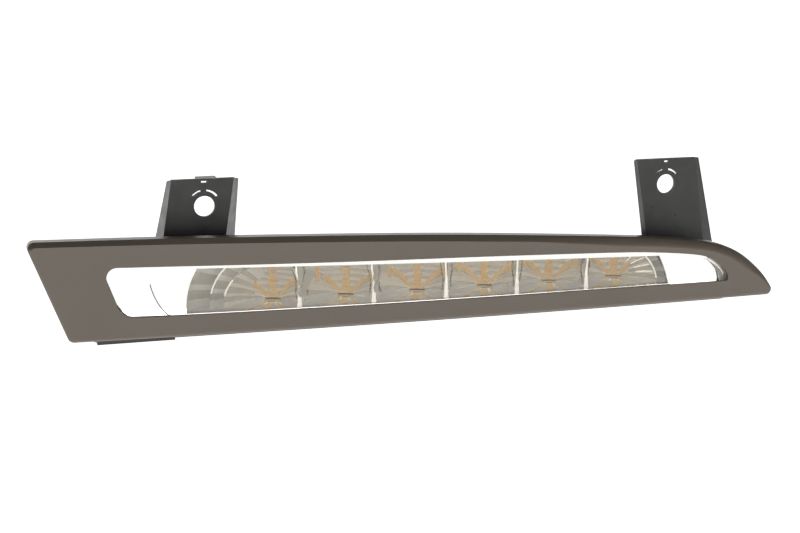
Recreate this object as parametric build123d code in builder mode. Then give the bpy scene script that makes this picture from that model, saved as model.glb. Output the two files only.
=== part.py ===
from build123d import *
import os
from math import sqrt, sin, cos, radians

os.makedirs("parts", exist_ok=True)

# ---------------------------------------------------------------- dimensions
# Frame: origin midway between the two tab holes, on the rear face of the tabs.
# +X runs along the lamp, +Y points to the rear, +Z is up. Millimetres.

# front face: an upright cylinder, bulging to the front
face_radius = 4200.0
face_mid_x = 6.0
face_front_y = -36.0

# outlines in the X-Z view
bezel_bottom_z = -58.5
window_bottom_z = -47.8
aperture_bottom_z = -51.2
bezel_top = [
    (-216.9, -8.9), (-149.2, -10.0), (-83.4, -12.0), (-10.3, -15.1),
    (49.2, -18.8), (101.5, -22.8), (130.0, -25.9), (147.0, -29.6),
    (159.6, -35.6), (168.7, -43.2), (174.0, -49.4), (179.6, bezel_bottom_z),
]
bezel_bottom_left = (-197.8, bezel_bottom_z)
bezel_top_corner = 3.2
bezel_bottom_corner = 3.2
window_top = [
    (-181.6, -22.5), (-115.2, -24.3), (-42.8, -26.1), (18.6, -27.4),
    (71.5, -29.0), (98.9, -30.2), (119.0, -32.0), (134.0, -34.2),
]
window_right = (149.4, -45.2)

# depths behind the front face
bezel_skin = 2.6
bezel_rim_depth = 9.5
bezel_wall = 2.2
lens_front, lens_back, lens_leg_end = 2.9, 5.2, 9.2
groove_floor, front_wall_back = 10.0, 12.2

# lens flange and housing rim, as widths outside the aperture
leg_in, leg_out = 1.6, 3.0
groove_in, groove_out = 1.4, 3.2
rim_in, rim_out = 0.2, 4.6

# rear housing
wall = 2.2
body_left, body_right, body_bottom = -187.5, 156.0, -61.0
housing_back_y = 17.0
flange_front_y = 14.0
flange_width = 4.0
top_z0, top_x0, top_y0 = -16.4, -175.0, -25.0
top_slope_x, top_slope_y = -0.033, -0.24
cover_thickness = 2.6

# fixing tabs
hole_spacing = 253.0
hole_radius = 5.25
slot_radius = 8.5
slot_width = 0.9
tab_thickness = 2.0
tab_top_z = 14.0
web_sheet = 2.0

# reflector: six cells aimed along the vehicle, swept against the lamp
sweep = 20.0
cell_pitch = 36.9
first_cell = -90.5
cell_count = 6
axis_shift = (2.7, 2.7, 2.6, 1.2, -0.8, -1.7)
focal = 6.0
vertex_depth = 45.0
floor_z = -52.4
floor_thickness = 1.2
shell = 2.0
ceiling_z0, ceiling_x0, ceiling_slope = -26.2, -137.0, -0.0313
left_step_radii = (20.0, 27.0)
right_step_radii = (20.0,)
step_focals = (6.0, 9.0, 12.0)
left_end = [(-27.0, 26.0), (-32.3, 14.0), (-33.2, 0.0)]
right_end = [(19.3, 20.0), (24.0, 10.0), (25.6, 0.0)]

# board stack, downwards from the reflector floor
board_top_z = floor_z - floor_thickness
board_thickness = 1.6
pad_thickness = 0.5
sink_thickness = 2.0
board_x0, board_x1, board_y0, board_y1 = -172.0, 133.0, -9.0, 12.0
sink_x0, sink_x1 = -147.0, 133.0
sink_leg_y0, sink_leg_y1 = 12.8, 14.8

# connector and vent on the rear cover
socket_x, socket_z = -158.0, -45.0
socket_w, socket_h, socket_depth, socket_wall = 21.0, 14.6, 16.0, 1.6
terminal_pitch = 4.0
vent_x, vent_z = 66.0, -51.0

# fasteners
bezel_screw_at = [(-201.0, -19.0), (-193.0, -48.0), (-110.0, -15.2), (0.0, -18.9), (163.5, -50.5)]
cover_screw_at = [(-140.0, -23.7), (-20.0, -27.7), (128.0, -32.6), (-140.0, -64.6), (-20.0, -64.6), (110.0, -64.6)]
sink_screw_at = [(-98.0, -47.0), (-8.0, -47.0), (100.0, -50.0)]
module_screw_at = [(-141.5, -5.5), (-141.5, 8.5), (129.0, -5.5), (123.0, 9.0)]


# ---------------------------------------------------------------- geometry helpers
def face_y(x, depth):
    return face_front_y + face_radius - sqrt((face_radius - depth) ** 2 - (x - face_mid_x) ** 2)


def top_z(x, y):
    return top_z0 + top_slope_x * (x - top_x0) + top_slope_y * (y - top_y0)


def layer(d1, d2, z1=-80.0, z2=40.0):
    """Slab that follows the front face between two depths."""
    xa, xb = -240.0, 220.0
    with BuildPart() as slab:
        with BuildSketch(Plane.XY.offset(z1)):
            with BuildLine():
                ThreePointArc((xa, face_y(xa, d1)), (face_mid_x, face_y(face_mid_x, d1)), (xb, face_y(xb, d1)))
                Line((xb, face_y(xb, d1)), (xb, face_y(xb, d2)))
                ThreePointArc((xb, face_y(xb, d2)), (face_mid_x, face_y(face_mid_x, d2)), (xa, face_y(xa, d2)))
                Line((xa, face_y(xa, d2)), (xa, face_y(xa, d1)))
            make_face()
        extrude(amount=z2 - z1)
    return slab.part


def prism(sketch, y1=-50.0, y2=60.0):
    """X-Z outline carried straight back from y1 to y2."""
    with BuildPart() as bar:
        with BuildSketch(Plane.XZ.offset(-y1)):
            add(sketch)
        extrude(amount=-(y2 - y1))
    return bar.part


def grown(sketch, amount):
    """Outline moved outwards by amount, its free curves fitted again as plain splines."""
    with BuildSketch() as moved:
        add(sketch)
        offset(amount=amount, kind=Kind.ARC)
    rim = moved.sketch.faces()[0].outer_wire().edges()
    with BuildSketch() as out:
        with BuildLine():
            for e in rim:
                if e.geom_type == GeomType.LINE:
                    Line(e @ 0, e @ 1)
                elif e.geom_type == GeomType.CIRCLE:
                    ThreePointArc(e @ 0, e @ 0.5, e @ 1)
                else:
                    Spline(*[e @ (k / 16) for k in range(17)], tangents=[e % 0, e % 1])
        make_face()
    return out.sketch


def polygon(points, radius=0.0):
    with BuildSketch() as out:
        with BuildLine():
            Polyline(*points, close=True)
        make_face()
        if radius:
            fillet(out.vertices(), radius)
    return out.sketch


def plate(sketch, z1, z2):
    """X-Y outline raised from z1 to z2."""
    with BuildPart() as slab:
        with BuildSketch(Plane.XY.offset(z1)):
            add(sketch)
        extrude(amount=z2 - z1)
    return slab.part


def block(x1, x2, y1, y2, z1, z2):
    with BuildPart() as b:
        with BuildSketch(Plane.XY.offset(z1)):
            with Locations(((x1 + x2) / 2, (y1 + y2) / 2)):
                Rectangle(x2 - x1, y2 - y1)
        extrude(amount=z2 - z1)
    return b.part


def post(x, z, r, y1, y2):
    """Round bar along Y."""
    with BuildPart() as b:
        with BuildSketch(Plane.XZ.offset(-y1)):
            with Locations((x, z)):
                Circle(r)
        extrude(amount=-(y2 - y1))
    return b.part


def stud(x, y, r, z1, z2):
    """Round bar along Z."""
    with BuildPart() as b:
        with BuildSketch(Plane.XY.offset(z1)):
            with Locations((x, y)):
                Circle(r)
        extrude(amount=z2 - z1)
    return b.part


def roof(drop):
    """Everything above the sloped housing top lowered by drop."""
    corners = []
    for y in (-60.0, 40.0):
        row = []
        for x in (-260.0, 240.0):
            row.append((x, y, top_z(x, y) - drop))
        corners.append(row)
    with BuildPart() as wedge:
        with BuildSketch(Plane.YZ.offset(-260.0)):
            Polygon((-60.0, corners[0][0][2]), (40.0, corners[1][0][2]), (40.0, 60.0), (-60.0, 60.0), align=None)
        with BuildSketch(Plane.YZ.offset(240.0)):
            Polygon((-60.0, corners[0][1][2]), (40.0, corners[1][1][2]), (40.0, 60.0), (-60.0, 60.0), align=None)
        loft(ruled=True)
    return wedge.part


# ---------------------------------------------------------------- outlines
with BuildSketch() as bezel_sk:
    with BuildLine():
        Spline(*bezel_top, tangents=[(1, -0.012), (0.60, -1)])
        Line(bezel_top[-1], bezel_bottom_left)
        Line(bezel_bottom_left, bezel_top[0])
    make_face()
    fillet(bezel_sk.vertices().sort_by(Axis.X)[0], bezel_top_corner)
    fillet(bezel_sk.vertices().sort_by_distance(bezel_bottom_left)[0], bezel_bottom_corner)
    fillet(bezel_sk.vertices().sort_by_distance(bezel_top[-1])[0], bezel_bottom_corner)
bezel_outline = bezel_sk.sketch


def window_face(bottom):
    low_left = (-172.7 + 0.384 * (window_bottom_z - bottom), bottom)
    low_right = (149.6, bottom)
    with BuildSketch() as out:
        with BuildLine():
            Spline(*window_top, tangents=[(1, -0.02), (1, -0.22)])
            TangentArc(window_top[-1], window_right, tangent=(1, -0.22))
            Line(window_right, low_right)
            Line(low_right, low_left)
            Line(low_left, window_top[0])
        make_face()
        fillet(out.vertices().sort_by_distance(window_top[0])[0], 5.0)
        fillet(out.vertices().sort_by_distance(low_left)[0], 5.0)
        fillet(out.vertices().sort_by_distance(low_right)[0], 2.0)
    return out.sketch


window = window_face(window_bottom_z)
aperture = window_face(aperture_bottom_z)


# ---------------------------------------------------------------- trim bezel
bezel_rough = prism(bezel_outline)
bezel_slab = layer(0.0, bezel_rim_depth)
bezel_core = prism(grown(bezel_outline, -bezel_wall))
bezel_core_slab = layer(bezel_skin, 40.0)
bezel_window = prism(window)
bezel_behind_window = layer(-10.0, 6.0)

with BuildPart() as bezel_void:
    add(bezel_core)
    add(bezel_core_slab, mode=Mode.INTERSECT)
with BuildPart() as bezel_posts:
    for px, pz in bezel_screw_at:
        add(post(px, pz, 2.6, -40.0, 0.0))
    add(layer(1.5, groove_floor), mode=Mode.INTERSECT)
with BuildPart() as bezel_pilots:
    for px, pz in bezel_screw_at:
        add(post(px, pz, 1.1, -40.0, 0.0))
    add(layer(3.0, 20.0), mode=Mode.INTERSECT)

with BuildPart() as trim_bezel:
    add(bezel_rough)
    add(bezel_slab, mode=Mode.INTERSECT)
    front_edges = trim_bezel.faces().sort_by(lambda f: f.center().Y)[0].edges()
    fillet(front_edges, 2.0)
    add(bezel_void.part, mode=Mode.SUBTRACT)
    add(bezel_posts.part)
    add(bezel_pilots.part, mode=Mode.SUBTRACT)
    add(bezel_window, mode=Mode.SUBTRACT)
trim_bezel.part.label = "trim_bezel"
export_step(trim_bezel.part, "parts/trim_bezel.step")


# ---------------------------------------------------------------- cover lens
lens_leg_outer = prism(grown(aperture, leg_out))
lens_leg_inner = prism(grown(aperture, leg_in))
with BuildPart() as lens_leg:
    add(lens_leg_outer)
    add(lens_leg_inner, mode=Mode.SUBTRACT)
    add(layer(lens_front, lens_leg_end), mode=Mode.INTERSECT)
with BuildPart() as cover_lens:
    add(lens_leg_outer)
    add(layer(lens_front, lens_back), mode=Mode.INTERSECT)
    add(lens_leg.part)
cover_lens.part.label = "cover_lens"
export_step(cover_lens.part, "parts/cover_lens.step")

# ---------------------------------------------------------------- lens seal
with BuildPart() as lens_seal:
    add(prism(grown(aperture, groove_out - 0.12)))
    add(prism(grown(aperture, groove_in + 0.12)), mode=Mode.SUBTRACT)
    add(layer(lens_leg_end, groove_floor), mode=Mode.INTERSECT)
lens_seal.part.label = "lens_seal"
export_step(lens_seal.part, "parts/lens_seal.step")

# ---------------------------------------------------------------- rear housing
rim_prism = prism(grown(aperture, rim_out))
rim_hole = prism(grown(aperture, rim_in))
groove_big = prism(grown(aperture, groove_out))
groove_small = prism(grown(aperture, groove_in))

rear_pts = [(body_left, body_bottom), (154.2, body_bottom), (154.2, -45.0), (149.0, top_z(149.0, housing_back_y) + 0.2),
            (-186.0, top_z(-186.0, housing_back_y) + 0.2), (body_left, -45.0)]
rear_outline = polygon(rear_pts, 2.0)

with BuildPart() as body_outer:
    add(prism(polygon([(body_left, body_bottom), (154.2, body_bottom), (154.2, -47.0), (body_left, -44.0 + wall)], 3.0)))
    add(rim_prism)
    add(layer(groove_floor, 90.0), mode=Mode.INTERSECT)
    add(block(-260, 240, housing_back_y, 120, -90, 60), mode=Mode.SUBTRACT)
    add(roof(0.0), mode=Mode.SUBTRACT)

with BuildPart() as body_cavity:
    add(prism(polygon([(body_left + wall, body_bottom + wall), (152.0, body_bottom + wall), (152.0, -44.0), (body_left + wall, -44.0)], 1.5)))
    add(prism(grown(aperture, rim_out - wall)))
    add(layer(front_wall_back, 120.0), mode=Mode.INTERSECT)
    add(roof(wall), mode=Mode.SUBTRACT)

with BuildPart() as rim_front:
    add(rim_prism)
    add(layer(3.4, front_wall_back), mode=Mode.INTERSECT)

with BuildPart() as lens_seat:
    add(groove_big)
    add(layer(0.0, 5.6), mode=Mode.INTERSECT)
with BuildPart() as lens_groove:
    add(groove_big)
    add(groove_small, mode=Mode.SUBTRACT)
    add(layer(0.0, groove_floor), mode=Mode.INTERSECT)


def web(front_pts, splay, side_pts):
    """Side wall of a tab: leans with the plate edge and runs back, splayed sideways."""
    y1, y2 = -tab_thickness, 20.0
    shift = splay * (y2 - y1)
    with BuildPart() as side:
        with BuildSketch(Plane.YZ.offset(-240.0)):
            with BuildLine():
                Polyline(*side_pts, close=True)
            make_face()
        extrude(amount=480.0)
    with BuildPart() as out:
        with BuildSketch(Plane.XZ.offset(-y1)):
            add(polygon(front_pts))
        with BuildSketch(Plane.XZ.offset(-y2)):
            add(polygon([(x + shift, z) for x, z in front_pts]))
        loft(ruled=True)
        add(side.part, mode=Mode.INTERSECT)
    return out.part


# each tab is a plate with two gusset walls running back from its side edges
left_plate = [(-151.7, -40.0), (-119.9, -40.0), (-111.3, tab_top_z), (-142.9, tab_top_z)]
right_plate = [(118.8, -45.0), (151.8, -45.0), (143.5, tab_top_z), (108.9, tab_top_z)]
left_side = [(-tab_thickness, -45.0), (16.0, -45.0), (16.0, -18.8), (7.5, 12.1), (-tab_thickness, tab_top_z)]
right_side = [(-tab_thickness, -50.0), (4.8, -50.0), (2.0, 13.1), (-tab_thickness, tab_top_z)]
right_far_side = [(-tab_thickness, -50.0), (2.8, -50.0), (-0.6, 13.6), (-tab_thickness, tab_top_z)]


def edge_strip(a, b, inward):
    """Strip of web thickness along the plate edge from a up to b."""
    return [a, (a[0] + inward, a[1]), (b[0] + inward, b[1]), b]


tab_pieces = [
    prism(polygon(left_plate), -tab_thickness, 0.0),
    prism(polygon(right_plate), -tab_thickness, 0.0),
    web(edge_strip(left_plate[0], left_plate[3], web_sheet), -0.06, left_side),
    web(edge_strip(left_plate[1], left_plate[2], -web_sheet), 0.464, left_side),
    web(edge_strip(right_plate[0], right_plate[3], web_sheet), -0.06, right_side),
    web(edge_strip(right_plate[1], right_plate[2], -web_sheet), 1.9, right_far_side),
    # ledge behind the top edge of the left tab
    block(-129.6, -119.6, -0.6, 7.0, tab_top_z - 1.0, tab_top_z),
]

# low pips on the right tab
with BuildPart() as tab_pips:
    for px, pz in ((119.4, -12.6), (133.6, -17.8)):
        add(post(px, pz, 0.9, -tab_thickness - 0.3, -tab_thickness + 0.3))

# bolt holes, two narrow arc slots over each and a short slot near the top edge
with BuildPart() as tab_holes:
    for hx in (-hole_spacing / 2, hole_spacing / 2):
        add(post(hx, 0.0, hole_radius, -20.0, 10.0))
        for start_angle, arc in ((36.0, 46.0), (102.0, 34.0)):
            with BuildSketch(Plane.XZ.offset(tab_thickness + 1.0)):
                with BuildLine():
                    r1, r2 = slot_radius - slot_width, slot_radius
                    p = [(hx + r * cos(radians(t)), r * sin(radians(t)))
                         for r, t in ((r1, start_angle), (r1, start_angle + arc / 2), (r1, start_angle + arc),
                                      (r2, start_angle + arc), (r2, start_angle + arc / 2), (r2, start_angle))]
                    ThreePointArc(p[0], p[1], p[2])
                    Line(p[2], p[3])
                    ThreePointArc(p[3], p[4], p[5])
                    Line(p[5], p[0])
                make_face()
            extrude(amount=-(tab_thickness + 2.0))
        add(block(hx - 1.4, hx + 1.4, -tab_thickness - 1.0, 1.0, tab_top_z - 2.2, tab_top_z - 1.2))

# ears under the bezel posts
ear_left = polygon([(-184.0, -15.0), (-204.0, -14.6), (-206.0, -21.0), (-197.0, -52.5), (-182.0, -52.5)], 2.0)
ear_right = polygon([(150.0, -54.7), (167.6, -54.7), (167.6, -46.4), (150.0, -46.4)], 2.0)
with BuildPart() as ears:
    add(prism(ear_left))
    add(prism(ear_right))
    for ex, ez, er in ((-110.0, -15.2, 2.8), (0.0, -18.9, 2.6)):
        add(post(ex, ez, er, -40.0, 10.0))
        add(block(ex - er, ex + er, -40.0, 10.0, ez - 9.0, ez))
    add(layer(groove_floor, front_wall_back + 0.3), mode=Mode.INTERSECT)
with BuildPart() as ear_holes:
    for ex, ez in bezel_screw_at:
        add(post(ex, ez, 1.35, -40.0, -10.0))

# rear flange, its screw bosses and its seal groove
with BuildPart() as rear_flange:
    add(prism(grown(rear_outline, flange_width), flange_front_y, housing_back_y))
    for bx, bz in cover_screw_at:
        add(post(bx, bz, 3.6, 7.0, housing_back_y))
with BuildPart() as rear_cuts:
    add(prism(grown(rear_outline, 2.2), housing_back_y - 1.0, housing_back_y + 5.0))
    add(prism(grown(rear_outline, 0.6), housing_back_y - 2.0, housing_back_y + 6.0), mode=Mode.SUBTRACT)
    for bx, bz in cover_screw_at:
        add(post(bx, bz, 1.3, 8.0, housing_back_y + 5.0))

with BuildPart() as rear_housing:
    add(body_outer.part)
    add(rim_front.part)
    for piece in tab_pieces:
        add(piece)
    add(tab_pips.part)
    add(ears.part)
    add(rear_flange.part)
    add(block(-184.0, -146.0, -21.5, -17.0, -62.6, body_bottom + 1.0))
    add(body_cavity.part, mode=Mode.SUBTRACT)
    add(lens_seat.part, mode=Mode.SUBTRACT)
    add(lens_groove.part, mode=Mode.SUBTRACT)
    add(tab_holes.part, mode=Mode.SUBTRACT)
    add(ear_holes.part, mode=Mode.SUBTRACT)
    add(rear_cuts.part, mode=Mode.SUBTRACT)
with BuildPart() as front_opening:
    add(rim_hole)
    add(layer(0.0, front_wall_back + 1.0), mode=Mode.INTERSECT)
with BuildPart() as housing_open:
    add(rear_housing.part)
    add(front_opening.part, mode=Mode.SUBTRACT)
housing_open.part.label = "rear_housing"
export_step(housing_open.part, "parts/rear_housing.step")

# ---------------------------------------------------------------- inner bezel
with BuildSketch() as opening_sk:
    with BuildLine():
        Line((-135.0, -26.26), (111.6, -33.98))
        Spline((111.6, -33.98), (115.6, -43.0), (117.8, -51.0))
        Line((117.8, -51.0), (117.8, -60.0))
        Line((117.8, -60.0), (-140.7, -60.0))
        Line((-140.7, -60.0), (-140.7, -47.0))
        Spline((-140.7, -47.0), (-139.3, -36.0), (-135.0, -26.26))
    make_face()
opening = opening_sk.sketch
frame_prism = prism(grown(aperture, -0.1))
with BuildPart() as frame_skirt:
    add(frame_prism)
    add(prism(grown(aperture, -1.3)), mode=Mode.SUBTRACT)
    add(layer(5.7, 11.8), mode=Mode.INTERSECT)
with BuildPart() as inner_bezel:
    add(frame_prism)
    add(layer(8.0, 9.4), mode=Mode.INTERSECT)
    add(prism(opening), mode=Mode.SUBTRACT)
    add(frame_skirt.part)
inner_bezel.part.label = "inner_bezel"
export_step(inner_bezel.part, "parts/inner_bezel.step")

# ---------------------------------------------------------------- reflector
ex, ey = cos(radians(sweep)), -sin(radians(sweep))
ax, ay = -sin(radians(sweep)), -cos(radians(sweep))


def cell_vertex(i):
    s = first_cell + i * cell_pitch
    t = 0.0
    for _ in range(40):
        x = s * ex + t * ax
        t = (s * ey - face_y(x, vertex_depth)) / -ay
    return s * ex + t * ax, s * ey + t * ay


def place(i, w, u):
    vx, vy = cell_vertex(i)
    return vx + w * ex + u * ax, vy + w * ey + u * ay


def bowl(i, arc, from_up, radii, inset, shift, u_max=50.0):
    """Revolved dish volume of cell i; radii are the steps where the focal length grows."""
    vx, vy = place(i, axis_shift[i], 0.0)
    origin = (vx - shift * ax, vy - shift * ay, floor_z)
    if from_up:
        plane = Plane(origin=origin, x_dir=(0, 0, 1), z_dir=(ex, ey, 0))
    else:
        plane = Plane(origin=origin, x_dir=(ex, ey, 0), z_dir=(0, 0, -1))
    with BuildPart() as dish:
        with BuildSketch(plane):
            with BuildLine():
                r1, last = 0.0, (0.0, 0.0)
                steps = [r - inset for r in radii]
                for k, f in enumerate(step_focals[: len(radii) + 1]):
                    c = focal - f
                    r2 = steps[k] if k < len(steps) else sqrt(4 * f * (u_max - c))
                    u1, u2 = c + r1 * r1 / (4 * f), c + r2 * r2 / (4 * f)
                    if k > 0:
                        Line(last, (r1, u1))
                    Bezier((r1, u1), ((r1 + r2) / 2, c + r1 * r2 / (4 * f)), (r2, u2))
                    r1, last = r2, (r2, u2)
                Line(last, (0.0, u_max))
                Line((0.0, u_max), (0.0, 0.0))
            make_face()
        revolve(axis=Axis(origin=origin, direction=(ax, ay, 0)), revolution_arc=arc)
    return dish.part


def cell_slab(i, w1, w2, u1, u2, z1, z2):
    return plate(polygon([place(i, w1, u1), place(i, w2, u1), place(i, w2, u2), place(i, w1, u2)]), z1, z2)


def end_tool(i, pts, far):
    """Volume on the cell side of an end curve, carried along the cell axis."""
    vx, vy = cell_vertex(i)
    plane = Plane(origin=(vx - 10 * ax, vy - 10 * ay, floor_z), x_dir=(ex, ey, 0), z_dir=(ax, ay, 0))
    with BuildPart() as tool:
        with BuildSketch(plane):
            with BuildLine():
                Spline(*pts)
                Line(pts[-1], (pts[-1][0], -8.0))
                Line((pts[-1][0], -8.0), (far, -8.0))
                Line((far, -8.0), (far, pts[0][1] + 8.0))
                Line((far, pts[0][1] + 8.0), (pts[0][0], pts[0][1] + 8.0))
                Line((pts[0][0], pts[0][1] + 8.0), pts[0])
            make_face()
        extrude(amount=80.0)
    return tool.part


half = cell_pitch / 2
shells, hollows = [], []
for i in range(cell_count):
    w1 = -half if i > 0 else axis_shift[i]
    w2 = half if i < cell_count - 1 else axis_shift[i]
    slab = cell_slab(i, w1, w2, -6.0, 48.0, floor_z - floor_thickness, -20.0)
    inner = bowl(i, 180.0, False, (), 0.0, 0.0)
    outer = bowl(i, 180.0, False, (), 0.0, shell)
    with BuildPart() as cell:
        add(outer)
        add(slab, mode=Mode.INTERSECT)
    with BuildPart() as hollow:
        add(inner)
        add(slab, mode=Mode.INTERSECT)
    shells.append(cell.part)
    hollows.append(hollow.part)

left_slab = cell_slab(0, -46.0, axis_shift[0], -12.0, 60.0, floor_z, -20.0)
left_keep = end_tool(0, left_end, axis_shift[0])
left_skin = end_tool(0, [(w - 1.5, h) for w, h in left_end], axis_shift[0])
with BuildPart() as left_cell:
    add(bowl(0, 90.0, True, left_step_radii, 1.5, shell, 56.0))
    add(left_slab, mode=Mode.INTERSECT)
    add(left_skin, mode=Mode.INTERSECT)
with BuildPart() as left_hollow:
    add(bowl(0, 90.0, True, left_step_radii, 0.0, 0.0, 56.0))
    add(left_slab, mode=Mode.INTERSECT)
    add(left_keep, mode=Mode.INTERSECT)

last_i = cell_count - 1
right_slab = cell_slab(last_i, axis_shift[last_i], 40.0, -12.0, 60.0, floor_z, -20.0)
right_keep = end_tool(last_i, right_end, axis_shift[last_i])
right_skin = end_tool(last_i, [(w + 1.5, h) for w, h in right_end], axis_shift[last_i])
with BuildPart() as right_cell:
    add(bowl(last_i, 90.0, False, right_step_radii, 1.5, shell, 56.0))
    add(right_slab, mode=Mode.INTERSECT)
    add(right_skin, mode=Mode.INTERSECT)
with BuildPart() as right_hollow:
    add(bowl(last_i, 90.0, False, right_step_radii, 0.0, 0.0, 56.0))
    add(right_slab, mode=Mode.INTERSECT)
    add(right_keep, mode=Mode.INTERSECT)

dividers = []
for i in range(cell_count - 1):
    px, py = place(i, half, 0.0)
    near_u = (half - axis_shift[i]) ** 2 / (4 * focal)
    far_u = (half + axis_shift[i + 1]) ** 2 / (4 * focal) - cell_pitch * sin(radians(sweep)) / cos(radians(sweep))
    rise = 30.0
    with BuildPart() as divider:
        with BuildSketch(Plane(origin=(px, py, floor_z), x_dir=(ax, ay, 0), z_dir=(-ex, -ey, 0))):
            with BuildLine():
                front, back = max(near_u, far_u) + 0.8, min(near_u, far_u) - shell
                Bezier((front, 0.0), (front, rise / 2), (front + rise * rise / (4 * focal), rise))
                Line((front + rise * rise / (4 * focal), rise), (back + rise * rise / (4 * focal), rise))
                Bezier((back + rise * rise / (4 * focal), rise), (back, rise / 2), (back, 0.0))
                Line((back, 0.0), (front, 0.0))
            make_face()
        extrude(amount=0.8, both=True)
    dividers.append(divider.part)


def ceiling(x):
    return ceiling_z0 + ceiling_slope * (x - ceiling_x0)


top_trim = prism(polygon([(-170.0, ceiling(-170.0)), (160.0, ceiling(160.0)), (160.0, 10.0), (-170.0, 10.0)]))
with BuildPart() as ceiling_slab:
    add(prism(polygon([(-137.0, ceiling(-137.0)), (116.0, ceiling(116.0)), (116.0, ceiling(116.0) - 1.2), (-137.0, ceiling(-137.0) - 1.2)])))
    add(layer(12.4, 27.0), mode=Mode.INTERSECT)
with BuildPart() as floor_slab:
    add(block(-146.0, 133.0, -60.0, 40.0, floor_z - floor_thickness, floor_z))
    add(layer(12.6, 47.3), mode=Mode.INTERSECT)
    add(block(-200, 200, sink_leg_y0 - 0.3, 60, floor_z - 5, floor_z + 5), mode=Mode.SUBTRACT)
with BuildPart() as floor_holes:
    for i in range(cell_count):
        lx, ly = place(i, axis_shift[i], focal)
        add(stud(lx, ly, 3.6, floor_z - 5.0, floor_z + 0.5))
    for sx, sy in module_screw_at:
        add(stud(sx, sy, 1.6, floor_z - 5.0, floor_z + 2.0))

with BuildPart() as reflector:
    for piece in shells:
        add(piece)
    add(left_cell.part)
    add(right_cell.part)
    for piece in hollows:
        add(piece, mode=Mode.SUBTRACT)
    add(left_hollow.part, mode=Mode.SUBTRACT)
    add(right_hollow.part, mode=Mode.SUBTRACT)
    for piece in dividers:
        add(piece)
    add(ceiling_slab.part)
    add(top_trim, mode=Mode.SUBTRACT)
    add(layer(12.4, 60.0), mode=Mode.INTERSECT)
    add(roof(wall + 0.4), mode=Mode.SUBTRACT)
    add(block(-200, 200, sink_leg_y0 - 0.3, 60, floor_z - 8, -10), mode=Mode.SUBTRACT)
    add(floor_slab.part)
    add(floor_holes.part, mode=Mode.SUBTRACT)
reflector.part.label = "reflector"
export_step(reflector.part, "parts/reflector.step")

# ---------------------------------------------------------------- board stack
board_bottom_z = board_top_z - board_thickness
pad_bottom_z = board_bottom_z - pad_thickness
sink_bottom_z = pad_bottom_z - sink_thickness
terminal_x = [socket_x + terminal_pitch * k for k in (-1.5, -0.5, 0.5, 1.5)]
terminal_y = 8.7

with BuildSketch() as board_sk:
    with Locations(((board_x0 + board_x1) / 2, (board_y0 + board_y1) / 2)):
        RectangleRounded(board_x1 - board_x0, board_y1 - board_y0, 1.5)
    with Locations(*module_screw_at):
        Circle(1.6, mode=Mode.SUBTRACT)
    with Locations(*[(x, terminal_y) for x in terminal_x]):
        Circle(1.0, mode=Mode.SUBTRACT)
with BuildPart() as led_board:
    add(plate(board_sk.sketch, board_bottom_z, board_top_z))
led_board.part.label = "led_board"
export_step(led_board.part, "parts/led_board.step")

with BuildSketch() as pad_sk:
    with Locations(((sink_x0 + 1.0 + sink_x1 - 1.0) / 2, (board_y0 + 1.0 + board_y1 - 1.0) / 2)):
        Rectangle(sink_x1 - sink_x0 - 2.0, board_y1 - board_y0 - 2.0)
    with Locations(*module_screw_at):
        Circle(2.2, mode=Mode.SUBTRACT)
with BuildPart() as thermal_pad:
    add(plate(pad_sk.sketch, pad_bottom_z, board_bottom_z))
thermal_pad.part.label = "thermal_pad"
export_step(thermal_pad.part, "parts/thermal_pad.step")

# bent strip: flat under the board, leg behind the reflector with upright cooling ribs
with BuildPart() as heat_sink:
    with BuildSketch(Plane.YZ.offset(sink_x0)) as sink_profile:
        with BuildLine():
            Polyline((board_y0 + 1.0, sink_bottom_z), (sink_leg_y1, sink_bottom_z), (sink_leg_y1, -41.0), (sink_leg_y0, -41.0),
                     (sink_leg_y0, pad_bottom_z), (board_y0 + 1.0, pad_bottom_z), close=True)
        make_face()
        fillet(sink_profile.vertices().sort_by_distance((sink_leg_y1, sink_bottom_z))[0], 2.6)
        fillet(sink_profile.vertices().sort_by_distance((sink_leg_y0, pad_bottom_z))[0], 0.6)
    extrude(amount=sink_x1 - sink_x0)
    add(block(sink_x0 - 1.0, -107.0, sink_leg_y0 - 0.6, sink_leg_y1 + 1.0, sink_bottom_z - 1.0, -40.0), mode=Mode.SUBTRACT)
    add(block(121.0, sink_x1 + 1.0, sink_leg_y0 - 0.6, sink_leg_y1 + 1.0, sink_bottom_z - 1.0, -40.0), mode=Mode.SUBTRACT)
    for sx, sy in module_screw_at:
        add(stud(sx, sy, 1.5, sink_bottom_z - 1.0, pad_bottom_z + 1.0), mode=Mode.SUBTRACT)
    for sx, sz in sink_screw_at:
        add(post(sx, sz, 1.3, sink_leg_y0 - 1.0, sink_leg_y1 + 1.0), mode=Mode.SUBTRACT)
    for k in range(8):
        nx = -84.0 + 24.0 * k
        add(block(nx - 4.0, nx + 4.0, sink_leg_y0 - 1.0, sink_leg_y1 + 1.0, -44.0, -40.0), mode=Mode.SUBTRACT)
heat_sink.part.label = "heat_sink"
export_step(heat_sink.part, "parts/heat_sink.step")

# ---------------------------------------------------------------- light emitters
with BuildPart() as led_packages:
    for i in range(cell_count):
        lx, ly = place(i, axis_shift[i], focal)
        with BuildSketch(Plane.XY.offset(board_top_z)):
            with Locations(Location((lx, ly, 0), (0, 0, -sweep))):
                RectangleRounded(3.6, 3.6, 0.3)
        extrude(amount=0.7)
led_packages.part.label = "led_packages"
export_step(led_packages.part, "parts/led_packages.step")

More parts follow.
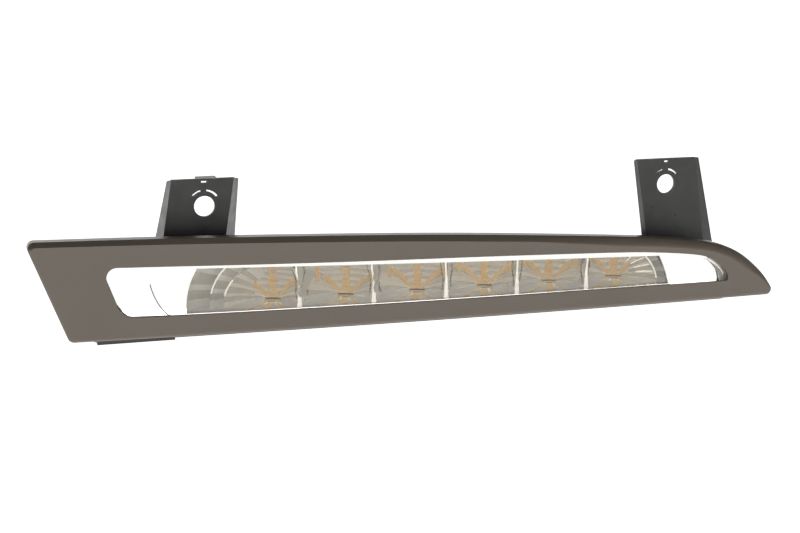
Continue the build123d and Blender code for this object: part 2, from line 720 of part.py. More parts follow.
with BuildPart() as led_phosphors:
    for i in range(cell_count):
        lx, ly = place(i, axis_shift[i], focal)
        with BuildSketch(Plane.XY.offset(board_top_z + 0.7)):
            with Locations(Location((lx, ly, 0), (0, 0, -sweep))):
                RectangleRounded(2.8, 2.8, 0.4)
        extrude(amount=0.2)
led_phosphors.part.label = "led_phosphors"
export_step(led_phosphors.part, "parts/led_phosphors.step")

# ---------------------------------------------------------------- driver parts on the board
with BuildPart() as driver_chip:
    add(block(-170.0, -165.0, -7.5, -1.5, board_top_z + 0.15, board_top_z + 1.65))
    chamfer(driver_chip.faces().sort_by(Axis.Z)[-1].edges(), 0.3)
    for k in range(4):
        for side in (-1, 1):
            cx = -167.5 + side * 2.95
            add(block(cx - 0.55, cx + 0.55, -6.9 + 1.5 * k, -6.5 + 1.5 * k, board_top_z, board_top_z + 0.35))
driver_chip.part.label = "driver_chip"
export_step(driver_chip.part, "parts/driver_chip.step")

with BuildPart() as power_inductor:
    with BuildSketch(Plane.XY.offset(board_top_z)) as coil_base:
        with Locations((-158.8, -4.4)):
            Rectangle(7.0, 7.0)
        chamfer(coil_base.vertices(), 1.4)
    extrude(amount=0.9)
    add(stud(-158.8, -4.4, 2.5, board_top_z + 0.5, board_top_z + 3.4))
    add(stud(-158.8, -4.4, 3.2, board_top_z + 3.2, board_top_z + 4.2))
power_inductor.part.label = "power_inductor"
export_step(power_inductor.part, "parts/power_inductor.step")

with BuildPart() as input_capacitors:
    for cx, cy in ((-151.2, -5.2), (-151.2, 2.2)):
        with BuildSketch(Plane.XY.offset(board_top_z)) as can_base:
            with Locations((cx, cy)):
                Rectangle(6.4, 6.4)
            chamfer(can_base.vertices().filter_by(lambda v: v.X < cx), 1.2)
        extrude(amount=0.9)
        add(stud(cx, cy, 3.0, board_top_z + 0.5, board_top_z + 6.0))
input_capacitors.part.label = "input_capacitors"
export_step(input_capacitors.part, "parts/input_capacitors.step")

with BuildPart() as chip_resistors:
    for k in range(5):
        cx = -170.0 + 2.6 * k
        add(block(cx - 0.8, cx + 0.8, 3.4, 6.4, board_top_z, board_top_z + 0.55))
    chamfer(chip_resistors.edges().filter_by(Axis.Z), 0.12)
chip_resistors.part.label = "chip_resistors"
export_step(chip_resistors.part, "parts/chip_resistors.step")

with BuildPart() as protection_diodes:
    for cx in (-168.4, -162.6):
        add(block(cx - 2.1, cx + 2.1, -0.6, 2.0, board_top_z + 0.2, board_top_z + 2.2))
        for side in (-1, 1):
            add(block(cx + side * 2.3 - 0.4, cx + side * 2.3 + 0.4, 0.0, 1.4, board_top_z, board_top_z + 0.9))
protection_diodes.part.label = "protection_diodes"
export_step(protection_diodes.part, "parts/protection_diodes.step")

# ---------------------------------------------------------------- rear cover
cover_back_y = housing_back_y + cover_thickness
socket_end_y = cover_back_y + socket_depth
with BuildSketch() as socket_outer:
    with Locations((socket_x, socket_z)):
        RectangleRounded(socket_w, socket_h, 2.4)
with BuildSketch() as socket_inner:
    with Locations((socket_x, socket_z)):
        RectangleRounded(socket_w - 2 * socket_wall, socket_h - 2 * socket_wall, 1.2)
with BuildPart() as rear_cover:
    add(prism(grown(rear_outline, flange_width), housing_back_y, cover_back_y))
    for bx, bz in cover_screw_at:
        add(post(bx, bz, 3.6, housing_back_y, cover_back_y))
    for sx, sz in sink_screw_at:
        add(post(sx, sz, 4.0, sink_leg_y1, cover_back_y))
    add(prism(socket_outer.sketch, housing_back_y, socket_end_y))
    # latch wedge and key ribs on the socket
    with BuildSketch(Plane.YZ.offset(socket_x - 3.0)):
        with BuildLine():
            Polyline((socket_end_y - 7.0, socket_z + socket_h / 2 - 0.2), (socket_end_y - 2.0, socket_z + socket_h / 2 - 0.2),
                     (socket_end_y - 6.4, socket_z + socket_h / 2 + 1.5), (socket_end_y - 7.0, socket_z + socket_h / 2 + 1.5), close=True)
        make_face()
    extrude(amount=6.0)
    for kx in (-6.5, 6.5):
        add(block(socket_x + kx - 0.7, socket_x + kx + 0.7, cover_back_y - 0.5, socket_end_y - 3.0, socket_z + socket_h / 2 - 0.4, socket_z + socket_h / 2 + 1.1))
    # stiffening ribs
    add(block(-132.0, 40.0, cover_back_y - 0.5, cover_back_y + 1.8, -39.2, -37.6))
    add(block(-132.0, 40.0, cover_back_y - 0.5, cover_back_y + 1.8, -56.8, -55.2))
    for rx in (-90.0, -50.0, 30.0):
        add(block(rx - 0.8, rx + 0.8, cover_back_y - 0.5, cover_back_y + 1.8, -56.0, -38.4))
    # vent boss
    add(post(vent_x, vent_z, 7.0, cover_back_y - 0.5, cover_back_y + 3.0))
    add(post(vent_x, vent_z, 5.6, cover_back_y + 2.2, cover_back_y + 4.0), mode=Mode.SUBTRACT)
    add(post(vent_x, vent_z, 3.0, housing_back_y - 1.0, cover_back_y + 4.0), mode=Mode.SUBTRACT)
    # socket pocket, terminal slots and screw holes
    add(prism(socket_inner.sketch, cover_back_y + 0.6, socket_end_y + 1.0), mode=Mode.SUBTRACT)
    for tx in terminal_x:
        add(block(tx - 0.82, tx + 0.82, housing_back_y - 1.0, cover_back_y + 2.0, socket_z - 0.4, socket_z + 0.4), mode=Mode.SUBTRACT)
    for bx, bz in cover_screw_at:
        add(post(bx, bz, 1.7, housing_back_y - 1.0, cover_back_y + 1.0), mode=Mode.SUBTRACT)
    for sx, sz in sink_screw_at:
        add(post(sx, sz, 1.7, sink_leg_y1 - 1.0, cover_back_y + 1.0), mode=Mode.SUBTRACT)
rear_cover.part.label = "rear_cover"
export_step(rear_cover.part, "parts/rear_cover.step")

with BuildPart() as cover_seal:
    add(prism(grown(rear_outline, 2.1), housing_back_y - 1.0, housing_back_y))
    add(prism(grown(rear_outline, 0.7), housing_back_y - 2.0, housing_back_y + 1.0), mode=Mode.SUBTRACT)
cover_seal.part.label = "cover_seal"
export_step(cover_seal.part, "parts/cover_seal.step")

with BuildPart() as connector_terminals:
    for tx in terminal_x:
        with BuildSketch(Plane.YZ.offset(tx - 0.75)):
            with BuildLine():
                Polyline((terminal_y - 0.32, board_bottom_z - 0.9), (terminal_y + 0.32, board_bottom_z - 0.9), (terminal_y + 0.32, socket_z - 0.32),
                         (socket_end_y - 4.6, socket_z - 0.32), (socket_end_y - 4.0, socket_z - 0.1), (socket_end_y - 4.0, socket_z + 0.1),
                         (socket_end_y - 4.6, socket_z + 0.32), (terminal_y - 0.32, socket_z + 0.32), close=True)
            make_face()
        extrude(amount=1.5)
connector_terminals.part.label = "connector_terminals"
export_step(connector_terminals.part, "parts/connector_terminals.step")

# ---------------------------------------------------------------- vent
with BuildPart() as vent_membrane:
    add(post(vent_x, vent_z, 5.4, cover_back_y + 2.2, cover_back_y + 2.5))
vent_membrane.part.label = "vent_membrane"
export_step(vent_membrane.part, "parts/vent_membrane.step")

with BuildPart() as vent_cap:
    add(post(vent_x, vent_z, 8.2, cover_back_y + 0.8, cover_back_y + 5.0))
    chamfer(vent_cap.edges().sort_by(Axis.Y)[-1], 0.8)
    add(post(vent_x, vent_z, 7.1, cover_back_y + 0.5, cover_back_y + 3.0), mode=Mode.SUBTRACT)
    add(post(vent_x, vent_z, 6.4, cover_back_y + 0.5, cover_back_y + 3.8), mode=Mode.SUBTRACT)
    for k in range(4):
        with BuildSketch(Plane.XZ.offset(-(cover_back_y + 0.5))):
            with Locations((vent_x, vent_z)):
                with PolarLocations(7.6, 1, start_angle=45.0 + 90.0 * k):
                    Rectangle(3.0, 2.4)
        extrude(amount=-2.9, mode=Mode.SUBTRACT)
vent_cap.part.label = "vent_cap"
export_step(vent_cap.part, "parts/vent_cap.step")

# ---------------------------------------------------------------- fasteners


def screw(shank_r, length, head_r, head_h):
    """Pan-head screw along -Z, head standing on the XY plane."""
    with BuildPart() as s:
        add(stud(0.0, 0.0, head_r, 0.0, head_h))
        fillet(s.edges().sort_by(Axis.Z)[-1], head_h * 0.55)
        add(stud(0.0, 0.0, shank_r, -length, 0.1))
        chamfer(s.edges().sort_by(Axis.Z)[0], shank_r * 0.45)
        for turn in (0.0, 90.0):
            with BuildSketch(Plane.XY.offset(head_h)):
                with Locations(Location((0, 0, 0), (0, 0, turn))):
                    Rectangle(head_r * 1.15, head_r * 0.26)
            extrude(amount=-head_h * 0.5, mode=Mode.SUBTRACT)
    return s.part


bezel_screw = screw(1.05, 7.0, 2.4, 1.6)
cover_screw = screw(1.25, 9.5, 2.9, 1.9)
module_screw = screw(1.4, 4.9, 2.6, 1.7)
sink_screw = screw(1.25, 6.6, 2.9, 1.9)

with BuildPart() as bezel_screws:
    for px, pz in bezel_screw_at:
        with Locations(Location((px, face_y(px, front_wall_back + 0.3) + 0.16, pz), (-90, 0, 0))):
            add(bezel_screw)
bezel_screws.part.label = "bezel_screws"
export_step(bezel_screws.part, "parts/bezel_screws.step")

with BuildPart() as cover_screws:
    for px, pz in cover_screw_at:
        with Locations(Location((px, cover_back_y, pz), (-90, 0, 0))):
            add(cover_screw)
cover_screws.part.label = "cover_screws"
export_step(cover_screws.part, "parts/cover_screws.step")

with BuildPart() as heat_sink_screws:
    for px, pz in sink_screw_at:
        with Locations(Location((px, cover_back_y, pz), (-90, 0, 0))):
            add(sink_screw)
heat_sink_screws.part.label = "heat_sink_screws"
export_step(heat_sink_screws.part, "parts/heat_sink_screws.step")

with BuildPart() as module_screws:
    for px, py in module_screw_at:
        with Locations((px, py, floor_z)):
            add(module_screw)
module_screws.part.label = "module_screws"
export_step(module_screws.part, "parts/module_screws.step")
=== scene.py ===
import math

import bmesh
import bpy
import numpy as np
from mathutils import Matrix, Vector
from mathutils.geometry import delaunay_2d_cdt

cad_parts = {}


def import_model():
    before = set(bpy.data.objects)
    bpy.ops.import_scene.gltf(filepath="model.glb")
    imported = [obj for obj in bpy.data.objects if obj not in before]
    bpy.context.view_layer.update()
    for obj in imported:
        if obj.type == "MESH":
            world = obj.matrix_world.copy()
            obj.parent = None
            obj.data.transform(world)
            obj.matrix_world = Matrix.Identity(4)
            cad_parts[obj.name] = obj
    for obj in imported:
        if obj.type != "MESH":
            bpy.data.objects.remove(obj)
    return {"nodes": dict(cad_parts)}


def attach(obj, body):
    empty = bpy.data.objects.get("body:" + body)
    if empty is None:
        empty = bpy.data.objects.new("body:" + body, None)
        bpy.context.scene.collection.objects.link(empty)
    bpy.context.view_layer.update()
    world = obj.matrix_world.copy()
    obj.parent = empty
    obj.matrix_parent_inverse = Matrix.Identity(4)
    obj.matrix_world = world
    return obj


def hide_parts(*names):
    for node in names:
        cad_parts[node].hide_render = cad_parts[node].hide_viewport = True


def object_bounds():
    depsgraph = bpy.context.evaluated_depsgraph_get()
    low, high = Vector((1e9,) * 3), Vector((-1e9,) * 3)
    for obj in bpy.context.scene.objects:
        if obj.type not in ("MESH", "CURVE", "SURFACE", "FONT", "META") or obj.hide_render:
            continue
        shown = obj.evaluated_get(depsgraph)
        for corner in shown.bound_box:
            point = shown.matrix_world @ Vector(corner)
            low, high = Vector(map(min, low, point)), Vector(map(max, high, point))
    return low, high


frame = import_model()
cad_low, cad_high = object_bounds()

MM = 0.001
scene = bpy.context.scene
node = frame["nodes"]

# ---------------------------------------------------------------- camera
VIEW_POINT = Vector((-0.25694, -0.78679, 0.13706))
LOOK_AT = Vector((-0.03469, -0.03650, -0.02927))
camera_data = bpy.data.cameras.new("camera")
camera_data.lens = 72.0
camera_data.sensor_width = 36.0
camera_data.sensor_fit = "HORIZONTAL"
camera_data.clip_start = 0.02
camera = bpy.data.objects.new("camera", camera_data)
scene.collection.objects.link(camera)
camera.location = VIEW_POINT
camera.rotation_euler = (LOOK_AT - VIEW_POINT).to_track_quat("-Z", "Y").to_euler()
scene.camera = camera
scene.view_settings.view_transform = "Standard"
scene.view_settings.look = "None"
scene.view_settings.exposure = 0.0
scene.view_settings.gamma = 1.0


# ---------------------------------------------------------------- mesh helpers
def new_piece(name, verts, faces, slots, face_slots=None, smooth=None, scale=MM):
    """Mesh object from coordinates in millimetres."""
    mesh = bpy.data.meshes.new(name)
    co = np.asarray(verts, float) * scale
    mesh.from_pydata([tuple(v) for v in co], [], [tuple(int(k) for k in f) for f in faces])
    for m in slots:
        mesh.materials.append(m)
    if face_slots is not None:
        mesh.polygons.foreach_set("material_index", np.asarray(face_slots, np.int32))
    if smooth is not None:
        mesh.polygons.foreach_set("use_smooth", np.asarray(smooth, bool))
    mesh.update()
    obj = bpy.data.objects.new(name, mesh)
    scene.collection.objects.link(obj)
    return obj


class Builder:
    """Collects patches of one piece."""

    def __init__(self):
        self.v, self.f, self.m, self.s = [], [], [], []

    def add(self, verts, faces, slot=0, smooth=True):
        base = len(self.v)
        self.v.extend([tuple(p) for p in verts])
        for f in faces:
            self.f.append([base + k for k in f])
            self.m.append(slot)
            self.s.append(smooth)
        return base

    def piece(self, name, slots):
        used = sorted({k for f in self.f for k in f})
        at = {k: n for n, k in enumerate(used)}
        return new_piece(name, [self.v[k] for k in used], [[at[k] for k in f] for f in self.f], slots, self.m, self.s)


# ---------------------------------------------------------------- materials
def start(name):
    mat = bpy.data.materials.new(name)
    mat.use_nodes = True
    nt = mat.node_tree
    nt.nodes.clear()
    out = nt.nodes.new("ShaderNodeOutputMaterial")
    bsdf = nt.nodes.new("ShaderNodeBsdfPrincipled")
    nt.links.new(bsdf.outputs["BSDF"], out.inputs["Surface"])
    return mat, nt, bsdf


def coordinates(nt, stretch=(1.0, 1.0, 1.0)):
    tc = nt.nodes.new("ShaderNodeTexCoord")
    mp = nt.nodes.new("ShaderNodeMapping")
    mp.inputs["Scale"].default_value = stretch
    nt.links.new(tc.outputs["Object"], mp.inputs["Vector"])
    return mp.outputs["Vector"]


def noise(nt, scale, detail=2.0, rough=0.5, stretch=(1.0, 1.0, 1.0)):
    n = nt.nodes.new("ShaderNodeTexNoise")
    n.inputs["Scale"].default_value = scale
    n.inputs["Detail"].default_value = detail
    n.inputs["Roughness"].default_value = rough
    nt.links.new(coordinates(nt, stretch), n.inputs["Vector"])
    return n.outputs["Fac"]


def ramp(nt, fac, stops):
    r = nt.nodes.new("ShaderNodeValToRGB")
    while len(r.color_ramp.elements) < len(stops):
        r.color_ramp.elements.new(0.5)
    for e, (pos, col) in zip(r.color_ramp.elements, stops):
        e.position = pos
        e.color = (*col, 1.0)
    nt.links.new(fac, r.inputs["Fac"])
    return r.outputs["Color"]


def spread(nt, fac, lo, hi):
    m = nt.nodes.new("ShaderNodeMapRange")
    m.inputs["From Min"].default_value = 0.3
    m.inputs["From Max"].default_value = 0.7
    m.inputs["To Min"].default_value = lo
    m.inputs["To Max"].default_value = hi
    nt.links.new(fac, m.inputs["Value"])
    return m.outputs["Result"]


def bumped(nt, bsdf, height, strength, distance):
    b = nt.nodes.new("ShaderNodeBump")
    b.inputs["Strength"].default_value = strength
    b.inputs["Distance"].default_value = distance
    nt.links.new(height, b.inputs["Height"])
    nt.links.new(b.outputs["Normal"], bsdf.inputs["Normal"])


def surface(name, low, high, rough, tone=70.0, grain=2600.0, bump=0.12, depth=0.00004,
            metallic=0.0, stretch=(1.0, 1.0, 1.0), specular=0.5, detail=3.0):
    """Two-tone procedural finish with its own roughness variation and grain."""
    mat, nt, bsdf = start(name)
    tone_fac = noise(nt, tone, detail, 0.55, stretch)
    nt.links.new(ramp(nt, tone_fac, [(0.32, low), (0.68, high)]), bsdf.inputs["Base Color"])
    grain_fac = noise(nt, grain, 2.0, 0.6, stretch)
    nt.links.new(spread(nt, noise(nt, tone * 3.1, 2.0, 0.5, stretch), rough[0], rough[1]), bsdf.inputs["Roughness"])
    bsdf.inputs["Metallic"].default_value = metallic
    bsdf.inputs["Specular IOR Level"].default_value = specular
    if bump:
        bumped(nt, bsdf, grain_fac, bump, depth)
    return mat, nt, bsdf


bezel_mat = surface("bezel_plastic", (0.122, 0.101, 0.080), (0.130, 0.108, 0.087), (0.33, 0.36), tone=24.0, grain=4200.0, bump=0.015)[0]
housing_mat = surface("housing_plastic", (0.016, 0.0155, 0.015), (0.026, 0.025, 0.024), (0.34, 0.46), tone=55.0, grain=1900.0, bump=0.22, depth=0.00006)[0]
cover_mat = surface("cover_plastic", (0.020, 0.020, 0.021), (0.032, 0.032, 0.033), (0.44, 0.56), tone=60.0, grain=1500.0, bump=0.25, depth=0.00007)[0]
chrome_mat = surface("bright_trim", (0.86, 0.86, 0.85), (0.93, 0.93, 0.925), (0.03, 0.08), tone=45.0, grain=420.0, bump=0.015, depth=0.00003, metallic=1.0)[0]
# reflector mirror finish with a faint painted glow: its emission makes the mirror glow though it is no lamp
mirror_painted_glow_mat, nt, bsdf = surface("reflector_mirror", (0.88, 0.86, 0.815), (0.93, 0.915, 0.875), (0.12, 0.17), tone=120.0, grain=420.0, bump=0.008, depth=0.00003, metallic=0.34)
bsdf.inputs["Emission Color"].default_value = (1.0, 0.97, 0.91, 1.0)
bsdf.inputs["Emission Strength"].default_value = 0.045
# reflector floor finish with a faint painted glow: its emission makes the floor glow though it is no lamp
floor_painted_glow_mat, nt, bsdf = surface("reflector_floor_painted_glow", (0.86, 0.84, 0.79), (0.91, 0.89, 0.845), (0.30, 0.38), tone=120.0, grain=420.0, bump=0.008, depth=0.00003, metallic=0.3, specular=0.3)
bsdf.inputs["Emission Color"].default_value = (1.0, 0.95, 0.87, 1.0)
bsdf.inputs["Emission Strength"].default_value = 0.04
# darker, faintly glowing copy of the mirror finish: painted shade on alternating facets and in the shade regions
painted_shade_fan_mat, nt, bsdf = surface("reflector_fan", (0.78, 0.745, 0.665), (0.84, 0.805, 0.73), (0.14, 0.2), tone=140.0, grain=420.0, bump=0.008, depth=0.00003, metallic=0.55)
bsdf.inputs["Emission Color"].default_value = (1.0, 0.95, 0.85, 1.0)
bsdf.inputs["Emission Strength"].default_value = 0.035
# lighter, glowing copy of the mirror finish: painted light on alternating facets
painted_light_fan_mat, nt, bsdf = surface("reflector_fan_painted_light", (0.92, 0.89, 0.81), (0.96, 0.935, 0.865), (0.18, 0.25), tone=140.0, grain=420.0, bump=0.008, depth=0.00003, metallic=0.12)
bsdf.inputs["Emission Color"].default_value = (1.0, 0.95, 0.85, 1.0)
bsdf.inputs["Emission Strength"].default_value = 0.065
# near-black painted shade for the recessed gap around each emitter and the recessed lines in the reflector
painted_shade_gap_mat = surface("reflector_painted_shade_gap", (0.045, 0.042, 0.038), (0.085, 0.080, 0.072), (0.35, 0.5), tone=500.0, grain=1500.0, bump=0.05)[0]
# brown-grey, faintly glowing finish of the end rib: painted reflection of the bezel seen in the skirt's inner wall
painted_reflection_rib_mat, nt, bsdf = surface("rib_painted_reflection", (0.50, 0.46, 0.41), (0.58, 0.54, 0.48), (0.30, 0.40), tone=90.0, grain=900.0, bump=0.03, metallic=0.2)
bsdf.inputs["Emission Color"].default_value = (1.0, 0.93, 0.85, 1.0)
bsdf.inputs["Emission Strength"].default_value = 0.07
facet_mat = surface("reflector_facet", (0.86, 0.84, 0.79), (0.91, 0.89, 0.84), (0.05, 0.08), tone=160.0, grain=500.0, bump=0.01, depth=0.00003, metallic=0.9)[0]
# amber, glowing finish for strips on the reflector floor: painted reflection of the emitters' yellow phosphor
painted_amber_reflection_mat, nt, bsdf = surface("reflector_painted_amber_reflection", (0.78, 0.60, 0.34), (0.86, 0.68, 0.42), (0.45, 0.55), tone=300.0, grain=700.0, bump=0.02, depth=0.00003, metallic=0.1, specular=0.2)
bsdf.inputs["Emission Color"].default_value = (0.95, 0.64, 0.26, 1.0)
bsdf.inputs["Emission Strength"].default_value = 0.14
# cream, strongly glowing finish for divider noses, beads, ribs and the end arc: painted highlight
painted_highlight_mat, nt, bsdf = surface("reflector_painted_highlight", (0.86, 0.84, 0.78), (0.94, 0.92, 0.87), (0.25, 0.38), tone=420.0, grain=1600.0, bump=0.08, depth=0.00004, specular=0.9)
bsdf.inputs["Emission Color"].default_value = (1.0, 0.95, 0.85, 1.0)
bsdf.inputs["Emission Strength"].default_value = 0.58
seal_mat = surface("seal_rubber", (0.010, 0.010, 0.010), (0.022, 0.021, 0.020), (0.65, 0.8), tone=120.0, grain=2400.0, bump=0.3)[0]
mask_mat = surface("board_mask", (0.70, 0.71, 0.69), (0.80, 0.81, 0.79), (0.28, 0.42), tone=160.0, grain=1200.0, bump=0.08)[0]
ceramic_mat = surface("led_ceramic", (0.58, 0.45, 0.24), (0.68, 0.54, 0.31), (0.35, 0.5), tone=700.0, grain=5000.0, bump=0.1)[0]
pad_mat = surface("gap_pad", (0.30, 0.33, 0.38), (0.40, 0.43, 0.48), (0.7, 0.85), tone=220.0, grain=1800.0, bump=0.35, depth=0.00008)[0]
alu_mat = surface("bent_aluminium", (0.60, 0.61, 0.62), (0.74, 0.75, 0.76), (0.28, 0.44), tone=70.0, grain=900.0, bump=0.16, metallic=1.0, stretch=(0.06, 1.0, 1.0))[0]
screw_mat = surface("zinc_screw", (0.52, 0.51, 0.48), (0.72, 0.71, 0.68), (0.22, 0.38), tone=600.0, grain=2600.0, bump=0.12, metallic=1.0)[0]
chip_mat = surface("chip_black", (0.016, 0.016, 0.017), (0.030, 0.030, 0.031), (0.5, 0.66), tone=900.0, grain=6000.0, bump=0.3)[0]
ferrite_mat = surface("ferrite", (0.035, 0.036, 0.040), (0.070, 0.071, 0.076), (0.45, 0.62), tone=700.0, grain=4200.0, bump=0.3)[0]
can_mat = surface("can_aluminium", (0.66, 0.67, 0.68), (0.78, 0.79, 0.80), (0.2, 0.34), tone=300.0, grain=2200.0, bump=0.12, metallic=1.0, stretch=(1.0, 1.0, 0.08))[0]
resistor_mat = surface("resistor_body", (0.020, 0.020, 0.022), (0.060, 0.058, 0.058), (0.35, 0.5), tone=1500.0, grain=6000.0, bump=0.2)[0]
blade_mat = surface("tinned_blade", (0.66, 0.65, 0.62), (0.80, 0.79, 0.76), (0.18, 0.32), tone=420.0, grain=2600.0, bump=0.1, metallic=1.0, stretch=(1.0, 0.1, 1.0))[0]
membrane_mat = surface("membrane", (0.74, 0.74, 0.72), (0.86, 0.86, 0.84), (0.75, 0.9), tone=900.0, grain=5200.0, bump=0.5)[0]
cap_mat = surface("cap_plastic", (0.018, 0.018, 0.019), (0.030, 0.030, 0.031), (0.4, 0.52), tone=260.0, grain=1700.0, bump=0.24)[0]

phosphor_mat, nt, bsdf = surface("phosphor", (0.70, 0.40, 0.085), (0.86, 0.54, 0.14), (0.5, 0.7), tone=900.0, grain=5200.0, bump=0.15)
bsdf.inputs["Emission Color"].default_value = (0.95, 0.64, 0.30, 1.0)
bsdf.inputs["Emission Strength"].default_value = 0.29

lens_mat, nt, bsdf = start("clear_cover")
bsdf.inputs["Base Color"].default_value = (0.985, 0.985, 0.975, 1.0)
bsdf.inputs["Transmission Weight"].default_value = 1.0
bsdf.inputs["IOR"].default_value = 1.49
nt.links.new(spread(nt, noise(nt, 60.0, 3.0), 0.0, 0.03), bsdf.inputs["Roughness"])
bumped(nt, bsdf, noise(nt, 30.0, 1.0), 0.02, 0.0001)

finish_of = {
    "trim_bezel": bezel_mat, "cover_lens": lens_mat, "lens_seal": seal_mat, "inner_bezel": chrome_mat,
    "reflector": mirror_painted_glow_mat, "rear_housing": housing_mat, "rear_cover": cover_mat, "cover_seal": seal_mat,
    "led_board": mask_mat, "led_packages": ceramic_mat, "led_phosphors": phosphor_mat, "thermal_pad": pad_mat,
    "heat_sink": alu_mat, "module_screws": screw_mat, "driver_chip": chip_mat, "power_inductor": ferrite_mat,
    "input_capacitors": can_mat, "chip_resistors": resistor_mat, "protection_diodes": chip_mat,
    "connector_terminals": blade_mat, "vent_membrane": membrane_mat, "vent_cap": cap_mat,
    "bezel_screws": screw_mat, "cover_screws": screw_mat, "heat_sink_screws": screw_mat,
}
for name, obj in node.items():
    mat = finish_of[name]
    if not obj.material_slots:
        obj.data.materials.append(mat)
    for s in obj.material_slots:
        s.material = mat

# ---------------------------------------------------------------- face and cell frame, millimetres
FACE_R, FACE_X, FACE_Y = 4200.0, 6.0, -36.0
SWEEP = math.radians(20.0)
EX, EY = math.cos(SWEEP), -math.sin(SWEEP)
AX, AY = -math.sin(SWEEP), -math.cos(SWEEP)
PITCH, FIRST, FOCAL, VERTEX_DEPTH, FLOOR_Z = 36.9, -90.5, 6.0, 45.0, -52.4
HALF = PITCH / 2
SHIFT = (2.7, 2.7, 2.6, 1.2, -0.8, -1.7)


def face_y(x, depth):
    return FACE_Y + FACE_R - math.sqrt((FACE_R - depth) ** 2 - (x - FACE_X) ** 2)


def depth_of(x, y):
    return FACE_R - math.hypot(x - FACE_X, y - (FACE_Y + FACE_R))


def ceiling(x):
    return -26.2 - 0.0313 * (x + 137.0)


def cell_vertex(i):
    s, t = FIRST + i * PITCH, 0.0
    for _ in range(40):
        t = (s * EY - face_y(s * EX + t * AX, VERTEX_DEPTH)) / -AY
    return s * EX + t * AX, s * EY + t * AY


VERTEX = [cell_vertex(i) for i in range(6)]


def place(i, w, u):
    return VERTEX[i][0] + w * EX + u * AX, VERTEX[i][1] + w * EY + u * AY


def world(i, w, h, u):
    x, y = place(i, w, u)
    return x, y, FLOOR_Z + h


def front_u(i, w, depth):
    """Distance along the cell axis to the given depth behind the face."""
    u = 30.0
    for _ in range(12):
        x, y = place(i, w, u)
        u -= (depth - depth_of(x, y)) / math.cos(SWEEP)
    return u


# ---------------------------------------------------------------- reflector
LED_H = -0.3


def dish(w, h, axis, focal):
    """Paraboloid about the emitter with the given axis: distance from the vertex plane."""
    a_w, a_h, a_u = axis
    hh = h - LED_H
    c = 2 * focal + w * a_w + hh * a_h
    k = 1.0 - a_u * a_u
    r2 = w * w + hh * hh
    if k < 1e-6:
        return FOCAL + (r2 - c * c) / (2 * c)
    return FOCAL + (c * a_u - math.sqrt(max(c * c * a_u * a_u - k * (r2 - c * c), 0.0))) / k


def focal_through(w, h, u, axis):
    """Focal length whose paraboloid passes through the point."""
    q = np.array([w, h - LED_H, u - FOCAL])
    return float(np.linalg.norm(q) - q @ np.array(axis)) / 2


def plain_u(w, h):
    return (w * w + h * h) / (4 * FOCAL)


def unit(v):
    v = np.asarray(v, float)
    return v / np.linalg.norm(v)


def aim(i):
    """Direction of the lamp's main viewing point in the axes of cell i."""
    x, y = place(i, SHIFT[i], FOCAL)
    d = np.array([VIEW_POINT.x / MM - x, VIEW_POINT.y / MM - y, VIEW_POINT.z / MM - FLOOR_Z])
    d /= np.linalg.norm(d)
    return unit((d[0] * EX + d[1] * EY, d[2], d[0] * AX + d[1] * AY))


def turned(axis, side, up):
    """Axis turned sideways and up by small angles in degrees."""
    return unit((axis[0] + math.radians(side), axis[1] + math.radians(up), axis[2]))


def wobble(*keys):
    """Repeatable value from -1 to 1."""
    t = math.sin(sum(k * c for k, c in zip(keys, (12.9898, 78.233, 37.719, 4.581)))) * 43758.5453
    return 2 * (t - math.floor(t)) - 1


ROW = 2.2
UPRIGHT = (0.139, 0.098, 0.056, 0.016, -0.023, -0.061)


def cell_region(i, w, h):
    """Name and sub-index of the facet at a place of a normal half cell."""
    edge = HALF - abs(w + SHIFT[i])
    if abs(edge - 2.3 - 0.5 * math.sin(0.33 * h + i)) < 0.28 and h > 2.0:
        return ("line", 1 if w > 0 else -1, 0)
    w -= UPRIGHT[i] * h * h / (4 * FOCAL)
    s = abs(w)
    side = 1 if w > 0 else -1
    row = int(h // ROW)
    ragged = wobble(i, side, int(h / 0.75), 6)
    lean = 3.2 + (h - 1.8) * 0.73 + 0.18 * ragged
    if h < 0.70 and s < 4.1:
        return ("gap", 0, 0)
    if s < 2.1 + 0.22 * ragged:
        return ("groove" if h - row * ROW < (0.30 if h < 11.0 else 0.62) else "bar", 0, row)
    if h < (12.5 if i == 1 else 15.0) and abs(s - lean) < (0.95 + 0.03 * h) * (1.0 + 0.22 * wobble(i, side, int(h / 0.75), 7)):
        return ("arm", side, int(h // 3.6))
    if h > 9.5 and 13.2 < s < 15.0:
        return ("streak", side, int(h // 5.0))
    if i in (1, 2) and w < -HALF - SHIFT[i] + 0.5 + (10.0 if i == 1 else 4.5) * (h / 22.0) ** 1.4 and h > 6.0:
        return ("shade", side, 0)
    if s < lean:
        return ("mid", side, row)
    return ("side", side, sum(math.degrees(math.atan2(h, s)) > k for k in (9.0, 17.0, 27.0, 38.0, 50.0)))


SECTORS = (7.0, 14.5, 19.5, 30.0, 36.0, 46.0, 53.0, 63.0)


def end_region(i, w, h, radii):
    r = math.hypot(w, h)
    ring = sum(r > k for k in radii)
    ang = math.degrees(math.atan2(h, abs(w)))
    return ("fan", ring, sum(ang > k for k in SECTORS))


STEP_FOCALS = (6.0, 9.0, 12.0)


